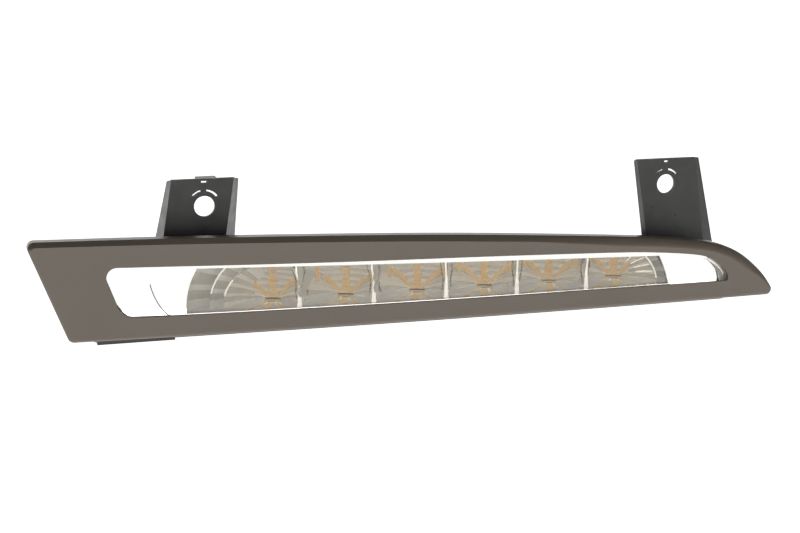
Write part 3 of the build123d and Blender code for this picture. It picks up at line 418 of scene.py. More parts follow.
def facet(i, region, w, h):
    """Distance u of a facet's surface at a place."""
    kind, a, b = region
    look = aim(i)
    if kind == "bar":
        cw, ch, axis = 0.0, (b + 0.5) * ROW, turned(look, 0.0, 1.2 * wobble(i, b, 1))
    elif kind == "gap":
        return plain_u(w, h) - 1.1
    elif kind == "line":
        return plain_u(w, h) - 0.5
    elif kind == "groove":
        cw, ch, axis = 0.0, b * ROW, turned((0.0, 0.0, 1.0), 0.0, 14.0)
    elif kind == "arm":
        ch = (b + 0.5) * 3.6
        cw, axis = a * (3.2 + (ch - 1.8) * 0.73), turned(look, 1.0 * wobble(i, a, b, 2), 1.0 * wobble(i, a, b, 3))
    elif kind == "streak":
        cw, ch, axis = a * 14.1, (b + 0.5) * 5.0, turned(look, 1.5 * wobble(i, a, b, 4), 0.0)
    elif kind == "mid":
        ch = (b + 0.5) * ROW
        cw, axis = a * 0.5 * (2.15 + 3.2 + (ch - 1.8) * 0.73), turned((0.0, 0.0, 1.0), a * 9.0, 4.0 + 4.0 * wobble(i, a, b, 5))
    elif kind == "shade":
        cw, ch, axis = a * 16.5, 15.0, turned((0.0, 0.0, 1.0), 12.0, 34.0)
    elif kind == "side":
        ang = math.radians((4.5, 13.0, 22.0, 32.5, 44.0, 60.0)[b])
        cw, ch = a * 13.0 * math.cos(ang), 13.0 * math.sin(ang)
        axis = turned((0.0, 0.0, 1.0), -a * (6.0 if b % 2 else -4.0), (-6.0, 7.0, -3.0, 10.0, 2.0, 9.0)[b])
    else:
        ring, sector = a, b
        f = STEP_FOCALS[ring]
        ang = math.radians(0.5 * ((0.0,) + SECTORS)[sector] + 0.5 * (SECTORS + (90.0,))[sector])
        r = (13.0, 23.5, 30.0)[ring]
        side = -1.0 if i == 0 else 1.0
        cw, ch = side * r * math.cos(ang), r * math.sin(ang)
        c = FOCAL - f
        tilt = 13.0 if sector % 2 else -13.0
        slope = math.tan(math.radians(tilt))
        across = (-math.sin(ang) * (abs(w) - abs(cw)) + math.cos(ang) * (h - ch))
        return c + (w * w + h * h) / (4 * f) + slope * across
    return dish(w, h, axis, focal_through(cw, ch, plain_u(cw, ch), axis))


LEFT_STEPS, RIGHT_STEPS = (22.6, 29.6), (22.0,)
LEFT_END = [(0.0, -39.0), (14.0, -38.0), (26.0, -32.5), (30.0, -30.0)]
RIGHT_END = [(0.0, 25.6), (10.0, 24.0), (20.0, 19.3), (26.0, 15.5)]


def curve_at(pts, h):
    hs, ws = zip(*pts)
    return float(np.interp(h, hs, ws))


def add_cell(b, i):
    """Faceted dish of one cell: front facets, the risers between them, back and rim."""
    left, right = -HALF + 0.55, HALF - 0.55
    cols = 92
    rows = 56
    if i == 0:
        left, cols = -39.0, 136
    if i == 5:
        right, cols = 25.6, 112

    def grid(j, k):
        t = k / rows
        h_guess = 22.0 * t
        lo = curve_at(LEFT_END, h_guess) if i == 0 else left
        hi = curve_at(RIGHT_END, h_guess) if i == 5 else right
        w = lo + (hi - lo) * j / cols
        x, _ = place(i, w, 16.0)
        top = ceiling(x) - FLOOR_Z - 0.2
        return w, top * t

    pos = {}
    reg = {}
    for k in range(rows):
        for j in range(cols):
            c = [grid(j, k), grid(j + 1, k), grid(j + 1, k + 1), grid(j, k + 1)]
            w = sum(p[0] for p in c) / 4
            h = sum(p[1] for p in c) / 4
            v = w - SHIFT[i]
            if i == 0 and v < -2.15 and (math.hypot(v, h) > 14.0 or v < -9.0):
                r = end_region(i, v, h, LEFT_STEPS)
            elif i == 5 and v > 2.15 and (math.hypot(v, h) > 13.0 or v > 8.0):
                r = end_region(i, v, h, RIGHT_STEPS)
            else:
                r = cell_region(i, v, h)
            u = facet(i, r, v, h)
            x, y = place(i, w, u)
            if depth_of(x, y) > 12.5:
                reg[j, k] = r

    verts, index = [], {}

    def vert(r, j, k):
        key = (r, j, k)
        if key not in index:
            w, h = grid(j, k)
            index[key] = len(verts)
            verts.append(world(i, w, h, facet(i, r, w - SHIFT[i], h)))
        return index[key]

    # facet finishes: bars, arms and streaks take the sharper mirror; gap and line recesses the painted shade; mid
    # rows alternate mirror and painted light; fan sectors and side bands alternate painted light and painted shade;
    # shade regions take the painted shade
    by_slot = {}
    for (j, k), r in reg.items():
        slot = {"bar": 3, "arm": 3, "streak": 3, "gap": 5, "line": 5, "fan": 7 - r[2] % 2, "shade": 6,
                "mid": 0 if r[2] % 2 else 7, "side": (0, 6, 7, 0, 6, 0, 0)[min(r[2], 6)]}.get(r[0], 0)
        by_slot.setdefault(slot, []).append([vert(r, j, k), vert(r, j + 1, k), vert(r, j + 1, k + 1), vert(r, j, k + 1)])
    for slot in sorted(by_slot):
        b.add(verts, by_slot[slot], slot, True)

    # risers between facets
    rv, rf = [], []

    def riser(r1, r2, p, q):
        base = len(rv)
        for r, (j, k) in ((r1, p), (r1, q), (r2, q), (r2, p)):
            w, h = grid(j, k)
            rv.append(world(i, w, h, facet(i, r, w - SHIFT[i], h)))
        rf.append([base, base + 1, base + 2, base + 3])

    for (j, k), r in reg.items():
        for p, q, n in (((j + 1, k), (j + 1, k + 1), (j + 1, k)), ((j + 1, k + 1), (j, k + 1), (j, k + 1))):
            r2 = reg.get(n)
            if r2 is not None and r2 != r:
                riser(r, r2, q, p)
    b.add(rv, rf, 0, False)

    # back of the shell and its rim
    bv, bi, bf = [], {}, []

    def back(j, k):
        if (j, k) not in bi:
            w, h = grid(j, k)
            bi[j, k] = len(bv)
            bv.append(world(i, w, h, back_u(i, w - SHIFT[i], h)))
        return bi[j, k]

    for (j, k) in reg:
        bf.append([back(j, k), back(j, k + 1), back(j + 1, k + 1), back(j + 1, k)])
    b.add(bv, bf, 0, True)
    ev, ef = [], []
    for (j, k), r in reg.items():
        for p, q, n in (((j, k), (j + 1, k), (j, k - 1)), ((j + 1, k), (j + 1, k + 1), (j + 1, k)),
                        ((j + 1, k + 1), (j, k + 1), (j, k + 1)), ((j, k + 1), (j, k), (j - 1, k))):
            if n not in reg:
                base = len(ev)
                for c in (q, p):
                    w, h = grid(*c)
                    ev.append(world(i, w, h, facet(i, r, w - SHIFT[i], h)))
                for c in (p, q):
                    w, h = grid(*c)
                    ev.append(world(i, w, h, back_u(i, w - SHIFT[i], h)))
                ef.append([base, base + 1, base + 2, base + 3])
    b.add(ev, ef, 0, False)


def back_u(i, w, h):
    r = math.hypot(w, h)
    if i == 0 and w < 0:
        f = STEP_FOCALS[sum(r > k for k in LEFT_STEPS)]
    elif i == 5 and w > 0:
        f = STEP_FOCALS[sum(r > k for k in RIGHT_STEPS)]
    else:
        f = FOCAL
    return FOCAL - f + r * r / (4 * f) - 2.6


def add_divider(b, i):
    """Upright wall between two cells with a rounded, slightly uneven front edge."""
    near_u = (HALF - SHIFT[i]) ** 2 / (4 * FOCAL)
    far_u = (HALF + SHIFT[i + 1]) ** 2 / (4 * FOCAL) - PITCH * math.tan(SWEEP)
    n_h, n_a = 72, 10
    verts, faces = [], []
    for k in range(n_h + 1):
        t = k / n_h
        x, _ = place(i, HALF, near_u)
        h = t * (ceiling(x) - FLOOR_Z - 0.3)
        half = 1.2 - 0.78 * min(1.0, h / 13.0) + 0.12 * math.sin(h * 1.9 + i) * max(0.0, 1 - h / 12.0)
        nose = max(near_u + 0.9 + h * h / (4 * FOCAL), near_u + 4.3 + (9.0 - h) * 0.19)
        nose = min(nose + 0.14 * math.sin(h * 2.3 + 2 * i), front_u(i, HALF, 12.6))
        tail = min(far_u - 1.0 + h * h / (4 * FOCAL), nose - 2.0)
        for a in range(n_a + 1):
            ang = math.pi * a / n_a
            verts.append(world(i, HALF - half * math.cos(ang), h, nose - 0.5 * half + 0.5 * half * math.sin(ang)))
        verts.append(world(i, HALF + half, h, tail))
        verts.append(world(i, HALF - half, h, tail))
    m = n_a + 3
    side, front = [], []
    for k in range(n_h):
        for a in range(m):
            a2 = (a + 1) % m
            (front if a < n_a else side).append([k * m + a, k * m + a2, (k + 1) * m + a2, (k + 1) * m + a])
    # the rounded front edge takes the painted highlight finish
    b.add(verts, front, 2, True)
    b.add(verts, side, 0, False)
    b.add([verts[a] for a in range(m)], [list(range(m))[::-1]], 0, False)
    b.add([verts[n_h * m + a] for a in range(m)], [list(range(m))], 0, False)


def tube(b, path, radius, slot, sides=8):
    """Round bead along a path of points."""
    p = np.array(path, float)
    verts, faces = [], []
    for k in range(len(p)):
        t = unit(p[min(k + 1, len(p) - 1)] - p[max(k - 1, 0)])
        n = unit(np.cross(t, (0.0, 1.0, 0.0)))
        q = np.cross(n, t)
        for a in range(sides):
            ang = 2 * math.pi * a / sides
            verts.append(p[k] + radius * (math.cos(ang) * n + math.sin(ang) * q))
    for k in range(len(p) - 1):
        for a in range(sides):
            a2 = (a + 1) % sides
            faces.append([k * sides + a, k * sides + a2, (k + 1) * sides + a2, (k + 1) * sides + a])
    faces.append(list(range(sides))[::-1])
    faces.append([(len(p) - 1) * sides + a for a in range(sides)])
    b.add(verts, faces, slot, True)


def add_step_bead(b, i, r, first, last):
    """Rounded lip on the front edge of a ring step in an end cell."""
    side = -1.0 if i == 0 else 1.0
    ring = sum(r > k + 0.1 for k in (LEFT_STEPS if i == 0 else RIGHT_STEPS))
    f = STEP_FOCALS[ring]
    path = []
    for a in np.linspace(first, last, 26):
        v, h = side * r * math.cos(math.radians(a)), r * math.sin(math.radians(a))
        x, _ = place(i, v + SHIFT[i], 18.0)
        if h > ceiling(x) - FLOOR_Z - 0.8:
            break
        u = FOCAL - f + r * r / (4 * f) + 0.25
        u = min(u, front_u(i, v + SHIFT[i], 12.9))
        path.append(world(i, v + SHIFT[i], h, u))
    # the bead carries the painted highlight finish
    tube(b, path, 0.38, 2)


def add_floor(b):
    """Mirror floor with an opening over each emitter."""
    outer = []
    xs = np.linspace(-144.0, 131.0, 90)
    for x in xs:
        outer.append((x, face_y(x, 12.8)))
    for x in xs[::-1]:
        outer.append((x, min(face_y(x, 46.8), 12.2)))
    loops = [outer]
    for i in range(6):
        cx, cy = place(i, SHIFT[i], FOCAL)
        loops.append([(cx + 2.1 * math.cos(a), cy + 2.1 * math.sin(a)) for a in np.linspace(0, 2 * math.pi, 41)[:-1]])
    for cx, cy in ((-141.5, -5.5), (-141.5, 8.5), (129.0, -5.5), (123.0, 9.0)):
        loops.append([(cx + 1.7 * math.cos(a), cy + 1.7 * math.sin(a)) for a in np.linspace(0, 2 * math.pi, 25)[:-1]])
    pts, edges, rings = [], [], []
    for lp in loops:
        base = len(pts)
        pts.extend([Vector(p) for p in lp])
        edges.extend([(base + k, base + (k + 1) % len(lp)) for k in range(len(lp))])
        rings.append(list(range(base, base + len(lp))))
    v2, _, f2, *_ = delaunay_2d_cdt(pts, edges, [], 2, 1e-6)
    keep = []
    for f in f2:
        c = sum((v2[k] for k in f), Vector((0, 0))) / len(f)
        inside_hole = False
        for lp in loops[1:]:
            m = np.mean(np.array(lp), 0)
            rad = math.hypot(lp[0][0] - m[0], lp[0][1] - m[1])
            if math.hypot(c.x - m[0], c.y - m[1]) < rad * 0.995:
                inside_hole = True
        if not inside_hole:
            keep.append(list(f))
    top = [(p.x, p.y, FLOOR_Z) for p in v2]
    low = [(p.x, p.y, FLOOR_Z - 1.2) for p in v2]
    up = []
    for f in keep:
        a, c, d = (v2[k] for k in f[:3])
        ccw = (c - a).cross(d - a) > 0
        up.append(f if ccw else f[::-1])
    b.add(top, up, 1, False)
    b.add(low, [f[::-1] for f in up], 1, False)
    for n, lp in enumerate(loops):
        vs = [(x, y, FLOOR_Z) for x, y in lp]
        mid = np.mean(np.array(lp), 0)
        flare = 1.75 if 1 <= n <= 6 else 1.0
        vs += [(mid[0] + (x - mid[0]) * flare, mid[1] + (y - mid[1]) * flare, FLOOR_Z - (0.7 if flare > 1 else 1.2)) for x, y in lp]
        m = len(lp)
        fs = []
        for k in range(m):
            q = (k + 1) % m
            fs.append([k, m + k, m + q, q] if n == 0 else [q, m + q, m + k, k])
        b.add(vs, fs, 1, n > 0)


def add_ceiling(b):
    """Thin roof along the top of the cells."""
    xs = np.linspace(-134.0, 113.0, 80)
    ds = (12.6, 17.0, 22.0, 26.5)
    verts, faces = [], []
    for x in xs:
        for d in ds:
            verts.append((x, face_y(x, d), ceiling(x)))
        for d in ds[::-1]:
            verts.append((x, face_y(x, d), ceiling(x) - 1.1))
    m = 2 * len(ds)
    for k in range(len(xs) - 1):
        for a in range(m):
            a2 = (a + 1) % m
            faces.append([k * m + a, (k + 1) * m + a, (k + 1) * m + a2, k * m + a2])
    faces.append(list(range(m)))
    faces.append([(len(xs) - 1) * m + a for a in range(m)][::-1])
    b.add(verts, faces, 0, False)


build = Builder()
for i in range(6):
    add_cell(build, i)
for i in range(5):
    add_divider(build, i)
add_floor(build)
add_ceiling(build)
add_step_bead(build, 0, LEFT_STEPS[0], 17.0, 40.0)
add_step_bead(build, 0, LEFT_STEPS[1], 15.0, 60.0)
add_step_bead(build, 5, RIGHT_STEPS[0], 10.0, 60.0)
# radial ribs in the right end cell, drawn in the painted highlight finish
for ang in (19.0, 31.0, 44.0, 57.0):
    rib = []
    for r in np.linspace(12.5, 20.5, 12):
        v, h = r * math.cos(math.radians(ang)), r * math.sin(math.radians(ang))
        x, _ = place(5, v + SHIFT[5], 16.0)
        if h < ceiling(x) - FLOOR_Z - 0.8:
            rib.append(world(5, v + SHIFT[5], h, r * r / (4 * FOCAL) + 0.35))
    tube(build, rib, 0.24, 2)
# thin strips on the reflector floor around each emitter, in the painted amber reflection finish
for i in range(6):
    for side, u0, u1 in ((-1, 1.2, None), (0, 0.8, 3.5), (0, 8.6, None), (1, 1.2, None)):
        strip, n_s = [], 18
        u1 = u1 or front_u(i, SHIFT[i], 13.2)
        for k in range(n_s + 1):
            u = u0 + (u1 - u0) * k / n_s
            mid = side * (3.3 + 0.36 * max(0.0, u - 8.4))
            half = (2.1 if side == 0 else 1.0) * (1.0 - 0.25 * (k / n_s) ** 2)
            for w, rise in ((mid - half, 0.0), (mid - 0.6 * half, 0.10), (mid + 0.6 * half, 0.10), (mid + half, 0.0)):
                strip.append(world(i, w + SHIFT[i], rise - 0.02, u))
        faces = [[4 * k + a, 4 * k + a + 1, 4 * k + a + 5, 4 * k + a + 4] for k in range(n_s) for a in range(3)]
        faces += [[4 * k, 4 * k + 4, 4 * k + 7, 4 * k + 3] for k in range(n_s)]
        faces += [[3, 2, 1, 0], [4 * n_s + a for a in range(4)]]
        build.add(strip, faces, 4, False)
reflector_piece = build.piece("reflector_cells", [mirror_painted_glow_mat, floor_painted_glow_mat, painted_highlight_mat, facet_mat, painted_amber_reflection_mat, painted_shade_gap_mat, painted_shade_fan_mat, painted_light_fan_mat])
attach(reflector_piece, "root")
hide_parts("reflector")

# ---------------------------------------------------------------- trim bezel
def spline(points, start_dir, end_dir, step=1.8):
    """Closely spaced points of a smooth curve through the points with given end directions."""
    p = np.array(points, float)
    n = len(p)
    h = np.linalg.norm(np.diff(p, axis=0), axis=1)
    a, rhs = np.zeros((n, n)), np.zeros((n, 2))
    a[0, 0] = a[-1, -1] = 1.0
    rhs[0], rhs[-1] = unit(start_dir), unit(end_dir)
    for k in range(1, n - 1):
        a[k, k - 1], a[k, k], a[k, k + 1] = h[k], 2 * (h[k - 1] + h[k]), h[k - 1]
        rhs[k] = 3 * (h[k - 1] * (p[k + 1] - p[k]) / h[k] + h[k] * (p[k] - p[k - 1]) / h[k - 1])
    m = np.linalg.solve(a, rhs)
    out = []
    for k in range(n - 1):
        c = max(2, int(round(h[k] / step)))
        for q in range(c):
            x = q / c
            out.append((2 * x ** 3 - 3 * x ** 2 + 1) * p[k] + (x ** 3 - 2 * x ** 2 + x) * h[k] * m[k]
                       + (3 * x ** 2 - 2 * x ** 3) * p[k + 1] + (x ** 3 - x ** 2) * h[k] * m[k + 1])
    out.append(p[-1])
    return np.array(out)


def straight(a, b, step=2.0):
    n = max(2, int(round(math.dist(a, b) / step)) + 1)
    return np.array([np.array(a) + (np.array(b) - np.array(a)) * k / (n - 1) for k in range(n)])


def shortened(seg, length):
    """Curve with the given length cut off its end."""
    if length <= 0:
        return seg
    back = np.concatenate([[0.0], np.cumsum(np.linalg.norm(np.diff(seg[::-1], axis=0), axis=1))])
    keep = seg[::-1][back > length + 0.05]
    k = int(np.searchsorted(back, length))
    a, b = seg[::-1][k - 1], seg[::-1][k]
    cut = a + (b - a) * (length - back[k - 1]) / (back[k] - back[k - 1])
    return np.vstack([keep[::-1], cut])


def closed_loop(segments, radii):
    """Clockwise loop of curves; radii round the corner at the end of each curve."""
    n = len(segments)
    trim, turn = [], []
    for k in range(n):
        s1, s2 = segments[k], segments[(k + 1) % n]
        t1, t2 = unit(s1[-1] - s1[-2]), unit(s2[1] - s2[0])
        phi = math.acos(max(-1.0, min(1.0, float(t1 @ t2))))
        trim.append(radii[k] * math.tan(phi / 2))
        turn.append(phi)
    out = []
    for k in range(n):
        seg = shortened(segments[k], trim[k])
        seg = shortened(seg[::-1], trim[k - 1])[::-1]
        out.extend(seg[:-1] if radii[k] == 0 else seg)
        if radii[k] > 0:
            t = unit(seg[-1] - seg[-2])
            inward = np.array([t[1], -t[0]])
            c = seg[-1] + radii[k] * inward
            steps = max(4, int(turn[k] * 7))
            for q in range(1, steps):
                a = -turn[k] * q / steps
                r = -radii[k] * inward
                out.append(c + np.array([r[0] * math.cos(a) - r[1] * math.sin(a), r[0] * math.sin(a) + r[1] * math.cos(a)]))
    return np.array(out)


def inward_normals(loop):
    t = np.roll(loop, -1, 0) - np.roll(loop, 1, 0)
    t /= np.linalg.norm(t, axis=1)[:, None]
    return np.stack([t[:, 1], -t[:, 0]], 1)


def smoothed(values, width):
    k = np.ones(width) / width
    pad = np.concatenate([values[-width:], values, values[:width]])
    return np.convolve(pad, k, "same")[width:-width]


BEZEL_LOW = -58.5
bezel_top = [(-216.9, -8.9), (-149.2, -10.0), (-83.4, -12.0), (-10.3, -15.1), (49.2, -18.8), (101.5, -22.8), (130.0, -25.9),
             (147.0, -29.6), (159.6, -35.6), (168.7, -43.2), (174.0, -49.4), (179.6, BEZEL_LOW)]
bezel_loop = closed_loop([spline(bezel_top, (1, -0.012), (0.60, -1)), straight(bezel_top[-1], (-197.8, BEZEL_LOW)),
                          straight((-197.8, BEZEL_LOW), bezel_top[0])], [3.2, 3.2, 3.2])
window_top = [(-181.6, -22.5), (-115.2, -24.3), (-42.8, -26.1), (18.6, -27.4), (71.5, -29.0), (98.9, -30.2), (119.0, -32.0), (134.0, -34.2)]
arc_t = unit((1, -0.22))
arc_n = np.array([arc_t[1], -arc_t[0]])
chord = np.array([149.4, -45.2]) - np.array(window_top[-1])
arc_r = float(chord @ chord) / (2 * float(chord @ arc_n))
arc_c = np.array(window_top[-1]) + arc_r * arc_n
arc_end = math.atan2(*(np.array([149.4, -45.2]) - arc_c)[::-1])
arc_start = math.atan2(*(np.array(window_top[-1]) - arc_c)[::-1])
window_arc = np.array([arc_c + arc_r * np.array([math.cos(a), math.sin(a)]) for a in np.linspace(arc_start, arc_end, 14)])
window_low = [(149.6, -48.7), (117.0, -48.45), (31.0, -48.35), (-45.0, -48.2), (-115.0, -47.85), (-172.6, -47.25)]
window_loop = closed_loop([np.vstack([spline(window_top, (1, -0.02), (1, -0.22))[:-1], window_arc, [(149.6, -46.0), window_low[0]]]),
                           spline(window_low, (-1, 0.006), (-1, 0.012)), straight(window_low[-1], (-181.6, -22.5))], [1.7, 9.0, 5.0])


def low_edge(x):
    """Height of the window's lower edge."""
    return float(np.interp(x, [q[0] for q in window_low[::-1]], [q[1] for q in window_low[::-1]]))



def within(c, poly):
    """Whether a point lies inside a closed polygon."""
    a, b = poly, np.roll(poly, -1, 0)
    hit = (a[:, 1] > c[1]) != (b[:, 1] > c[1])
    a, b = a[hit], b[hit]
    return int(np.sum(c[0] < a[:, 0] + (c[1] - a[:, 1]) * (b[:, 0] - a[:, 0]) / (b[:, 1] - a[:, 1]))) % 2 == 1


def bezel_mesh():
    n_out, n_win = inward_normals(bezel_loop), -inward_normals(window_loop)
    xs = [-216, 40, 90, 120, 142, 154, 165, 172, 178]
    top = np.clip((-n_out[:, 1] - 0.1) / 0.5, 0.0, 1.0)
    wide = np.interp(bezel_loop[:, 0], xs, [2.1, 3.0, 5.0, 5.3, 5.6, 7.6, 8.0, 4.0, 2.0])
    deep = np.interp(bezel_loop[:, 0], xs, [3.1, 3.2, 3.9, 4.4, 4.8, 5.0, 4.8, 3.0, 2.0])
    bend = np.interp(bezel_loop[:, 0], [-216, 0, 60, 110, 140], [0.0, 0.05, 0.45, 0.75, 0.9])
    wide, deep = smoothed(2.0 + (wide - 2.0) * top, 5), smoothed(2.0 + (deep - 2.0) * top, 5)
    sill = np.clip((-n_win[:, 1] - 0.4) / 0.5, 0.0, 1.0)
    lip = smoothed(0.6 - 0.38 * sill, 5)
    wall = smoothed(1.2 - 0.5 * sill + 0.5 * np.clip((n_win[:, 0] - 0.2) / 0.4, 0.0, 1.0), 7)
    bend = smoothed(1.0 - top * (1.0 - bend), 5)
    verts, rings, faces = [], {}, []

    def ring(name, loop, normals, off, depth):
        base = len(verts)
        off, depth = np.broadcast_to(off, len(loop)), np.broadcast_to(depth, len(loop))
        for q, nn, o, d in zip(loop, normals, off, depth):
            x, z = q + nn * o
            verts.append((x, face_y(x, d), z))
        rings[name] = (base, len(loop))

    def band(a, b):
        (p, m), (q, _) = rings[a], rings[b]
        for k in range(m):
            k2 = (k + 1) % m
            faces.append([p + k, p + k2, q + k2, q + k])

    def cap(a, b):
        """Flat region between an outer and an inner ring."""
        ids = [rings[a][0] + k for k in range(rings[a][1])] + [rings[b][0] + k for k in range(rings[b][1])]
        pts = [Vector((verts[k][0], verts[k][2])) for k in ids]
        na = rings[a][1]
        edges = [(k, (k + 1) % na) for k in range(na)] + [(na + k, na + (k + 1) % rings[b][1]) for k in range(rings[b][1])]
        v2, _, f2, src, *_ = delaunay_2d_cdt(pts, edges, [], 0, 1e-7)
        outer, inner = np.array(pts[:na]), np.array(pts[na:])
        for f in f2:
            c = np.mean([v2[k] for k in f], 0)
            if within(c, outer) and not within(c, inner):
                faces.append([ids[src[k][0]] for k in f])

    ring("rear", bezel_loop, n_out, 0.0, 9.5)
    ring("edge", bezel_loop, n_out, 0.0, deep + 0.3)
    arc = 10
    for k in range(arc + 1):
        a = math.pi / 2 * k / arc
        t = (0.0, 0.03, 0.10, 0.2, 0.35, 0.5, 0.65, 0.8, 0.90, 0.97, 1.0)[k]
        ring("r%d" % k, bezel_loop, n_out, wide * (bend * (1 - math.cos(a)) + (1 - bend) * t),
             deep * (bend * (1 - math.sin(a)) + (1 - bend) * (1 - t)))
    ring("flat", bezel_loop, n_out, wide + 0.6, 0.0)
    ring("win_flat", window_loop, n_win, 1.2, 0.0)
    for k in range(5):
        a = math.pi / 2 * k / 4
        ring("w%d" % k, window_loop, n_win, lip * (1 - math.sin(a)), lip * (1 - math.cos(a)))
    ring("win_wall", window_loop, n_win, 0.0, wall)
    ring("win_under", window_loop, n_win, 2.4, 2.6)
    ring("under", bezel_loop, n_out, 2.2, np.maximum(2.6, deep + 1.2))
    ring("inner_rear", bezel_loop, n_out, 2.2, 9.5)
    order = ["rear", "edge"] + ["r%d" % k for k in range(arc + 1)] + ["flat"]
    for a, b in zip(order, order[1:]):
        band(a, b)
    cap("flat", "win_flat")
    order = ["win_flat"] + ["w%d" % k for k in range(5)] + ["win_wall", "win_under"]
    for a, b in zip(order, order[1:]):
        band(a, b)
    cap("under", "win_under")
    band("under", "inner_rear")
    band("inner_rear", "rear")
    return verts, faces


bezel_verts, bezel_faces = bezel_mesh()
bm = bmesh.new()
bm_verts = [bm.verts.new(Vector(v) * MM) for v in bezel_verts]
for f in bezel_faces:
    bm.faces.new([bm_verts[k] for k in f])
for px, pz in ((-201.0, -19.0), (-193.0, -48.0), (-110.0, -15.2), (0.0, -18.9), (163.5, -50.5)):
    lower = [bm.verts.new(Vector((px + r * math.cos(a), face_y(px, 3.2), pz + r * math.sin(a))) * MM)
             for r, a in [(2.6, 2 * math.pi * k / 20) for k in range(20)]]
    upper = [bm.verts.new(Vector((px + r * math.cos(a), face_y(px, 9.9), pz + r * math.sin(a))) * MM)
             for r, a in [(2.6, 2 * math.pi * k / 20) for k in range(20)]]
    for k in range(20):
        bm.faces.new([lower[k], lower[(k + 1) % 20], upper[(k + 1) % 20], upper[k]])
    bm.faces.new(lower[::-1])
    bm.faces.new(upper)
bmesh.ops.recalc_face_normals(bm, faces=bm.faces[:])
for f in bm.faces:
    f.smooth = True
bezel_data = bpy.data.meshes.new("bezel_frame")
bm.to_mesh(bezel_data)
bm.free()
bezel_data.materials.append(bezel_mat)
bezel_data.set_sharp_from_angle(angle=math.radians(38.0))
bezel_piece = bpy.data.objects.new("bezel_frame", bezel_data)
scene.collection.objects.link(bezel_piece)
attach(bezel_piece, "root")
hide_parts("trim_bezel")

# ---------------------------------------------------------------- fine lines of the inner bezel
lines = Builder()


def cove(z):
    """Depth of the bright panels: flat above, curling forward along the foot."""
    return float(np.interp(-z, [38.0, 40.0, 42.0, 43.5, 44.5, 45.5, 46.5, 47.5, 48.5, 49.2, 49.95],
                           [7.985, 7.98, 7.965, 7.93, 7.88, 7.79, 7.66, 7.50, 7.30, 7.14, 6.95]))


def add_foot(left, right, columns):
    """Curled foot of a panel between two side limits given as functions of height."""
    zs = np.concatenate([np.linspace(-38.0, -43.0, 6)[:-1], np.linspace(-43.0, -49.95, 22)])
    n_z = len(zs)
    front, back = [], []
    for k in range(columns + 1):
        for z in zs:
            x = left(z) + (right(z) - left(z)) * k / columns
            front.append((x, face_y(x, cove(z)), z))
            back.append((x, face_y(x, 8.3), z))
    fs = [[k * n_z + a, k * n_z + a + 1, (k + 1) * n_z + a + 1, (k + 1) * n_z + a] for k in range(columns) for a in range(n_z - 1)]
    lines.add(front, fs, 0, True)
    lines.add(back, [f[::-1] for f in fs], 0, True)
    rim = [k * n_z for k in range(columns + 1)] + [columns * n_z + a for a in range(1, n_z)]
    rim += [k * n_z + n_z - 1 for k in range(columns - 1, -1, -1)] + [a for a in range(n_z - 2, 0, -1)]
    edge = [front[k] for k in rim] + [back[k] for k in rim]
    m = len(rim)
    lines.add(edge, [[k, (k + 1) % m, m + (k + 1) % m, m + k] for k in range(m)], 0, False)


add_foot(lambda z: -171.4 - 0.3554 * (z + 51.2) + 0.7, lambda z: -140.75, 26)
add_foot(lambda z: 115.7 + 0.275 * (-43.0 - z), lambda z: 148.9, 26)

arc_pts = spline([(-158.0, -32.9), (-156.6, -37.8), (-154.4, -42.6), (-151.7, -46.6), (-149.0, -48.9), (-145.0, -49.3)], (0.2, -1.0), (1.0, 0.0), step=0.8)
tube(lines, [(x, face_y(x, cove(z) - 0.08), z) for x, z in arc_pts], 0.26, 2, 10)

# narrow bright sill along the cells
xs, sv, sf = np.linspace(-141.2, 117.6, 130), [], []
for x in xs:
    z = low_edge(x) - 0.72
    for d, zz in ((6.0, z - 1.7), (6.38, z), (6.9, z), (7.1, z - 1.7)):
        sv.append((x, face_y(x, d), zz))
sf = [[k * 4 + a, k * 4 + (a + 1) % 4, (k + 1) * 4 + (a + 1) % 4, (k + 1) * 4 + a] for k in range(len(xs) - 1) for a in range(4)]
sf += [[3, 2, 1, 0], [(len(xs) - 1) * 4 + a for a in range(4)]]
lines.add(sv, sf, 0, False)

# end rib at the narrow end: runs from the panel up over the edge of the skirt; its brown-grey glowing finish is a
# painted reflection of the bezel
rib, painted_highlight_arc = [], []
steps = 30
for k in range(steps + 1):
    t = k / steps
    if t < 0.62:
        ang = arc_start + (arc_end - arc_start) * (0.30 + 0.70 * t / 0.62)
        out = np.array([math.cos(ang), math.sin(ang)])
        p0 = arc_c + arc_r * out
    else:
        last = arc_c + arc_r * np.array([math.cos(arc_end), math.sin(arc_end)])
        p0 = last + (np.array([149.6, -49.9]) - last) * (t - 0.62) / 0.38
        blend_t = min(1.0, (t - 0.62) / 0.12)
        out = unit(np.array([math.cos(arc_end), math.sin(arc_end)]) * (1 - blend_t) + np.array([1.0, 0.0]) * blend_t)
    width = float(np.interp(t, [0.0, 0.15, 0.4, 0.62, 1.0], [0.1, 0.5, 1.1, 0.9, 0.4]))
    for off, d in ((-1.3 - width, 7.93), (-1.35 - 0.5 * width, 7.2), (-1.38, 5.8), (-0.1, 5.46), (1.56, 5.42), (1.56, 5.62), (-0.7, 6.0), (-0.8, 8.3), (-1.3 - width, 8.3)):
        x, z = p0 + out * off
        z = max(z, -49.95)
        rib.append((x, face_y(x, min(d, cove(z) - 0.05) if d == 7.93 else d), z))
    if 0.03 < t < 0.66:
        x, z = p0 - out * 0.75
        painted_highlight_arc.append((x, face_y(x, 5.44), z))
m = 9
rf = [[k * m + a, k * m + (a + 1) % m, (k + 1) * m + (a + 1) % m, (k + 1) * m + a] for k in range(steps) for a in range(m)]
rf += [list(range(m))[::-1], [steps * m + a for a in range(m)]]
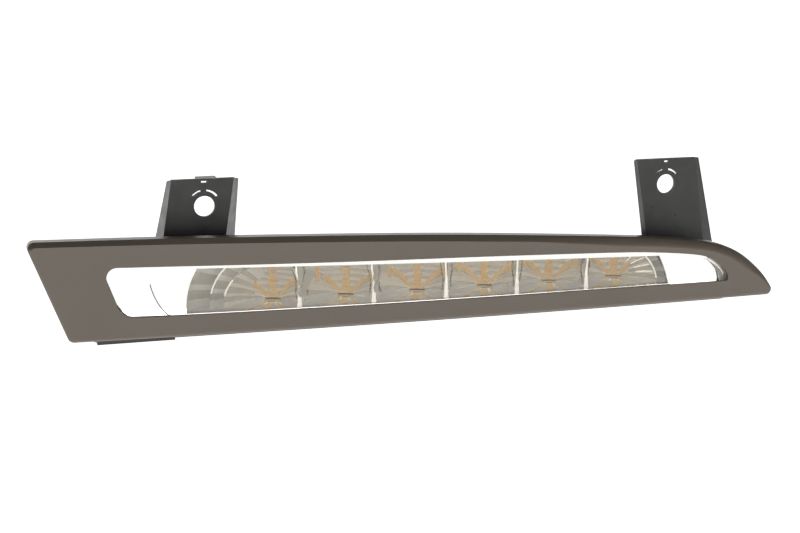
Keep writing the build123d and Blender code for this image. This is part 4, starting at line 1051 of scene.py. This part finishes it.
lines.add(rib, rf, 3, False)
# bead along the rib in the painted highlight finish: a painted highlight arc
tube(lines, painted_highlight_arc, 0.2, 1, 8)
lines_piece = lines.piece("inner_bezel_lines", [chrome_mat, painted_highlight_mat, bezel_mat, painted_reflection_rib_mat])
lines_piece.data.set_sharp_from_angle(angle=math.radians(35.0))
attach(lines_piece, "root")

# ---------------------------------------------------------------- stage and light
floor_z = cad_low.z - 0.0004
profile = [(-9.0, 0.0), (-3.0, 0.0), (-1.0, 0.0), (1.2, 0.0)]
for k in range(1, 13):
    a = math.radians(90.0 * k / 12)
    profile.append((1.2 + 0.5 * math.sin(a), 0.5 - 0.5 * math.cos(a)))
profile.append((1.7, 0.75))
sv, sf = [], []
for x in (-40.0, 40.0):
    for y, z in profile:
        sv.append((x, y, floor_z + z))
n = len(profile)
for k in range(n - 1):
    sf.append((k, n + k, n + k + 1, k + 1))

stage_mat, nt, bsdf = surface("paper", (0.80, 0.80, 0.80), (0.84, 0.84, 0.84), (0.8, 0.9), tone=3.0, grain=300.0, bump=0.02)
bsdf.inputs["Emission Color"].default_value = (1.0, 0.995, 0.985, 1.0)
bsdf.inputs["Emission Strength"].default_value = 1.08
stage = new_piece("sweep", sv, sf, [stage_mat], smooth=[True] * len(sf), scale=1.0)

# tall white panel behind the viewer
panel_v = [(-6.0, -2.6, floor_z), (6.0, -2.6, floor_z), (6.0, -2.6, floor_z + 0.75), (-6.0, -2.6, floor_z + 0.75)]
panel_mat, nt, bsdf = surface("panel", (0.80, 0.80, 0.80), (0.84, 0.84, 0.84), (0.8, 0.9), tone=3.0, grain=300.0, bump=0.02)
bsdf.inputs["Emission Color"].default_value = (1.0, 0.995, 0.985, 1.0)
bsdf.inputs["Emission Strength"].default_value = 1.7
panel = new_piece("panel", panel_v, [(3, 2, 1, 0)], [panel_mat], scale=1.0)

world_data = bpy.data.worlds.new("studio")
world_data.use_nodes = True
back = world_data.node_tree.nodes["Background"]
back.inputs["Color"].default_value = (1.0, 1.0, 1.0, 1.0)
back.inputs["Strength"].default_value = 0.07
scene.world = world_data
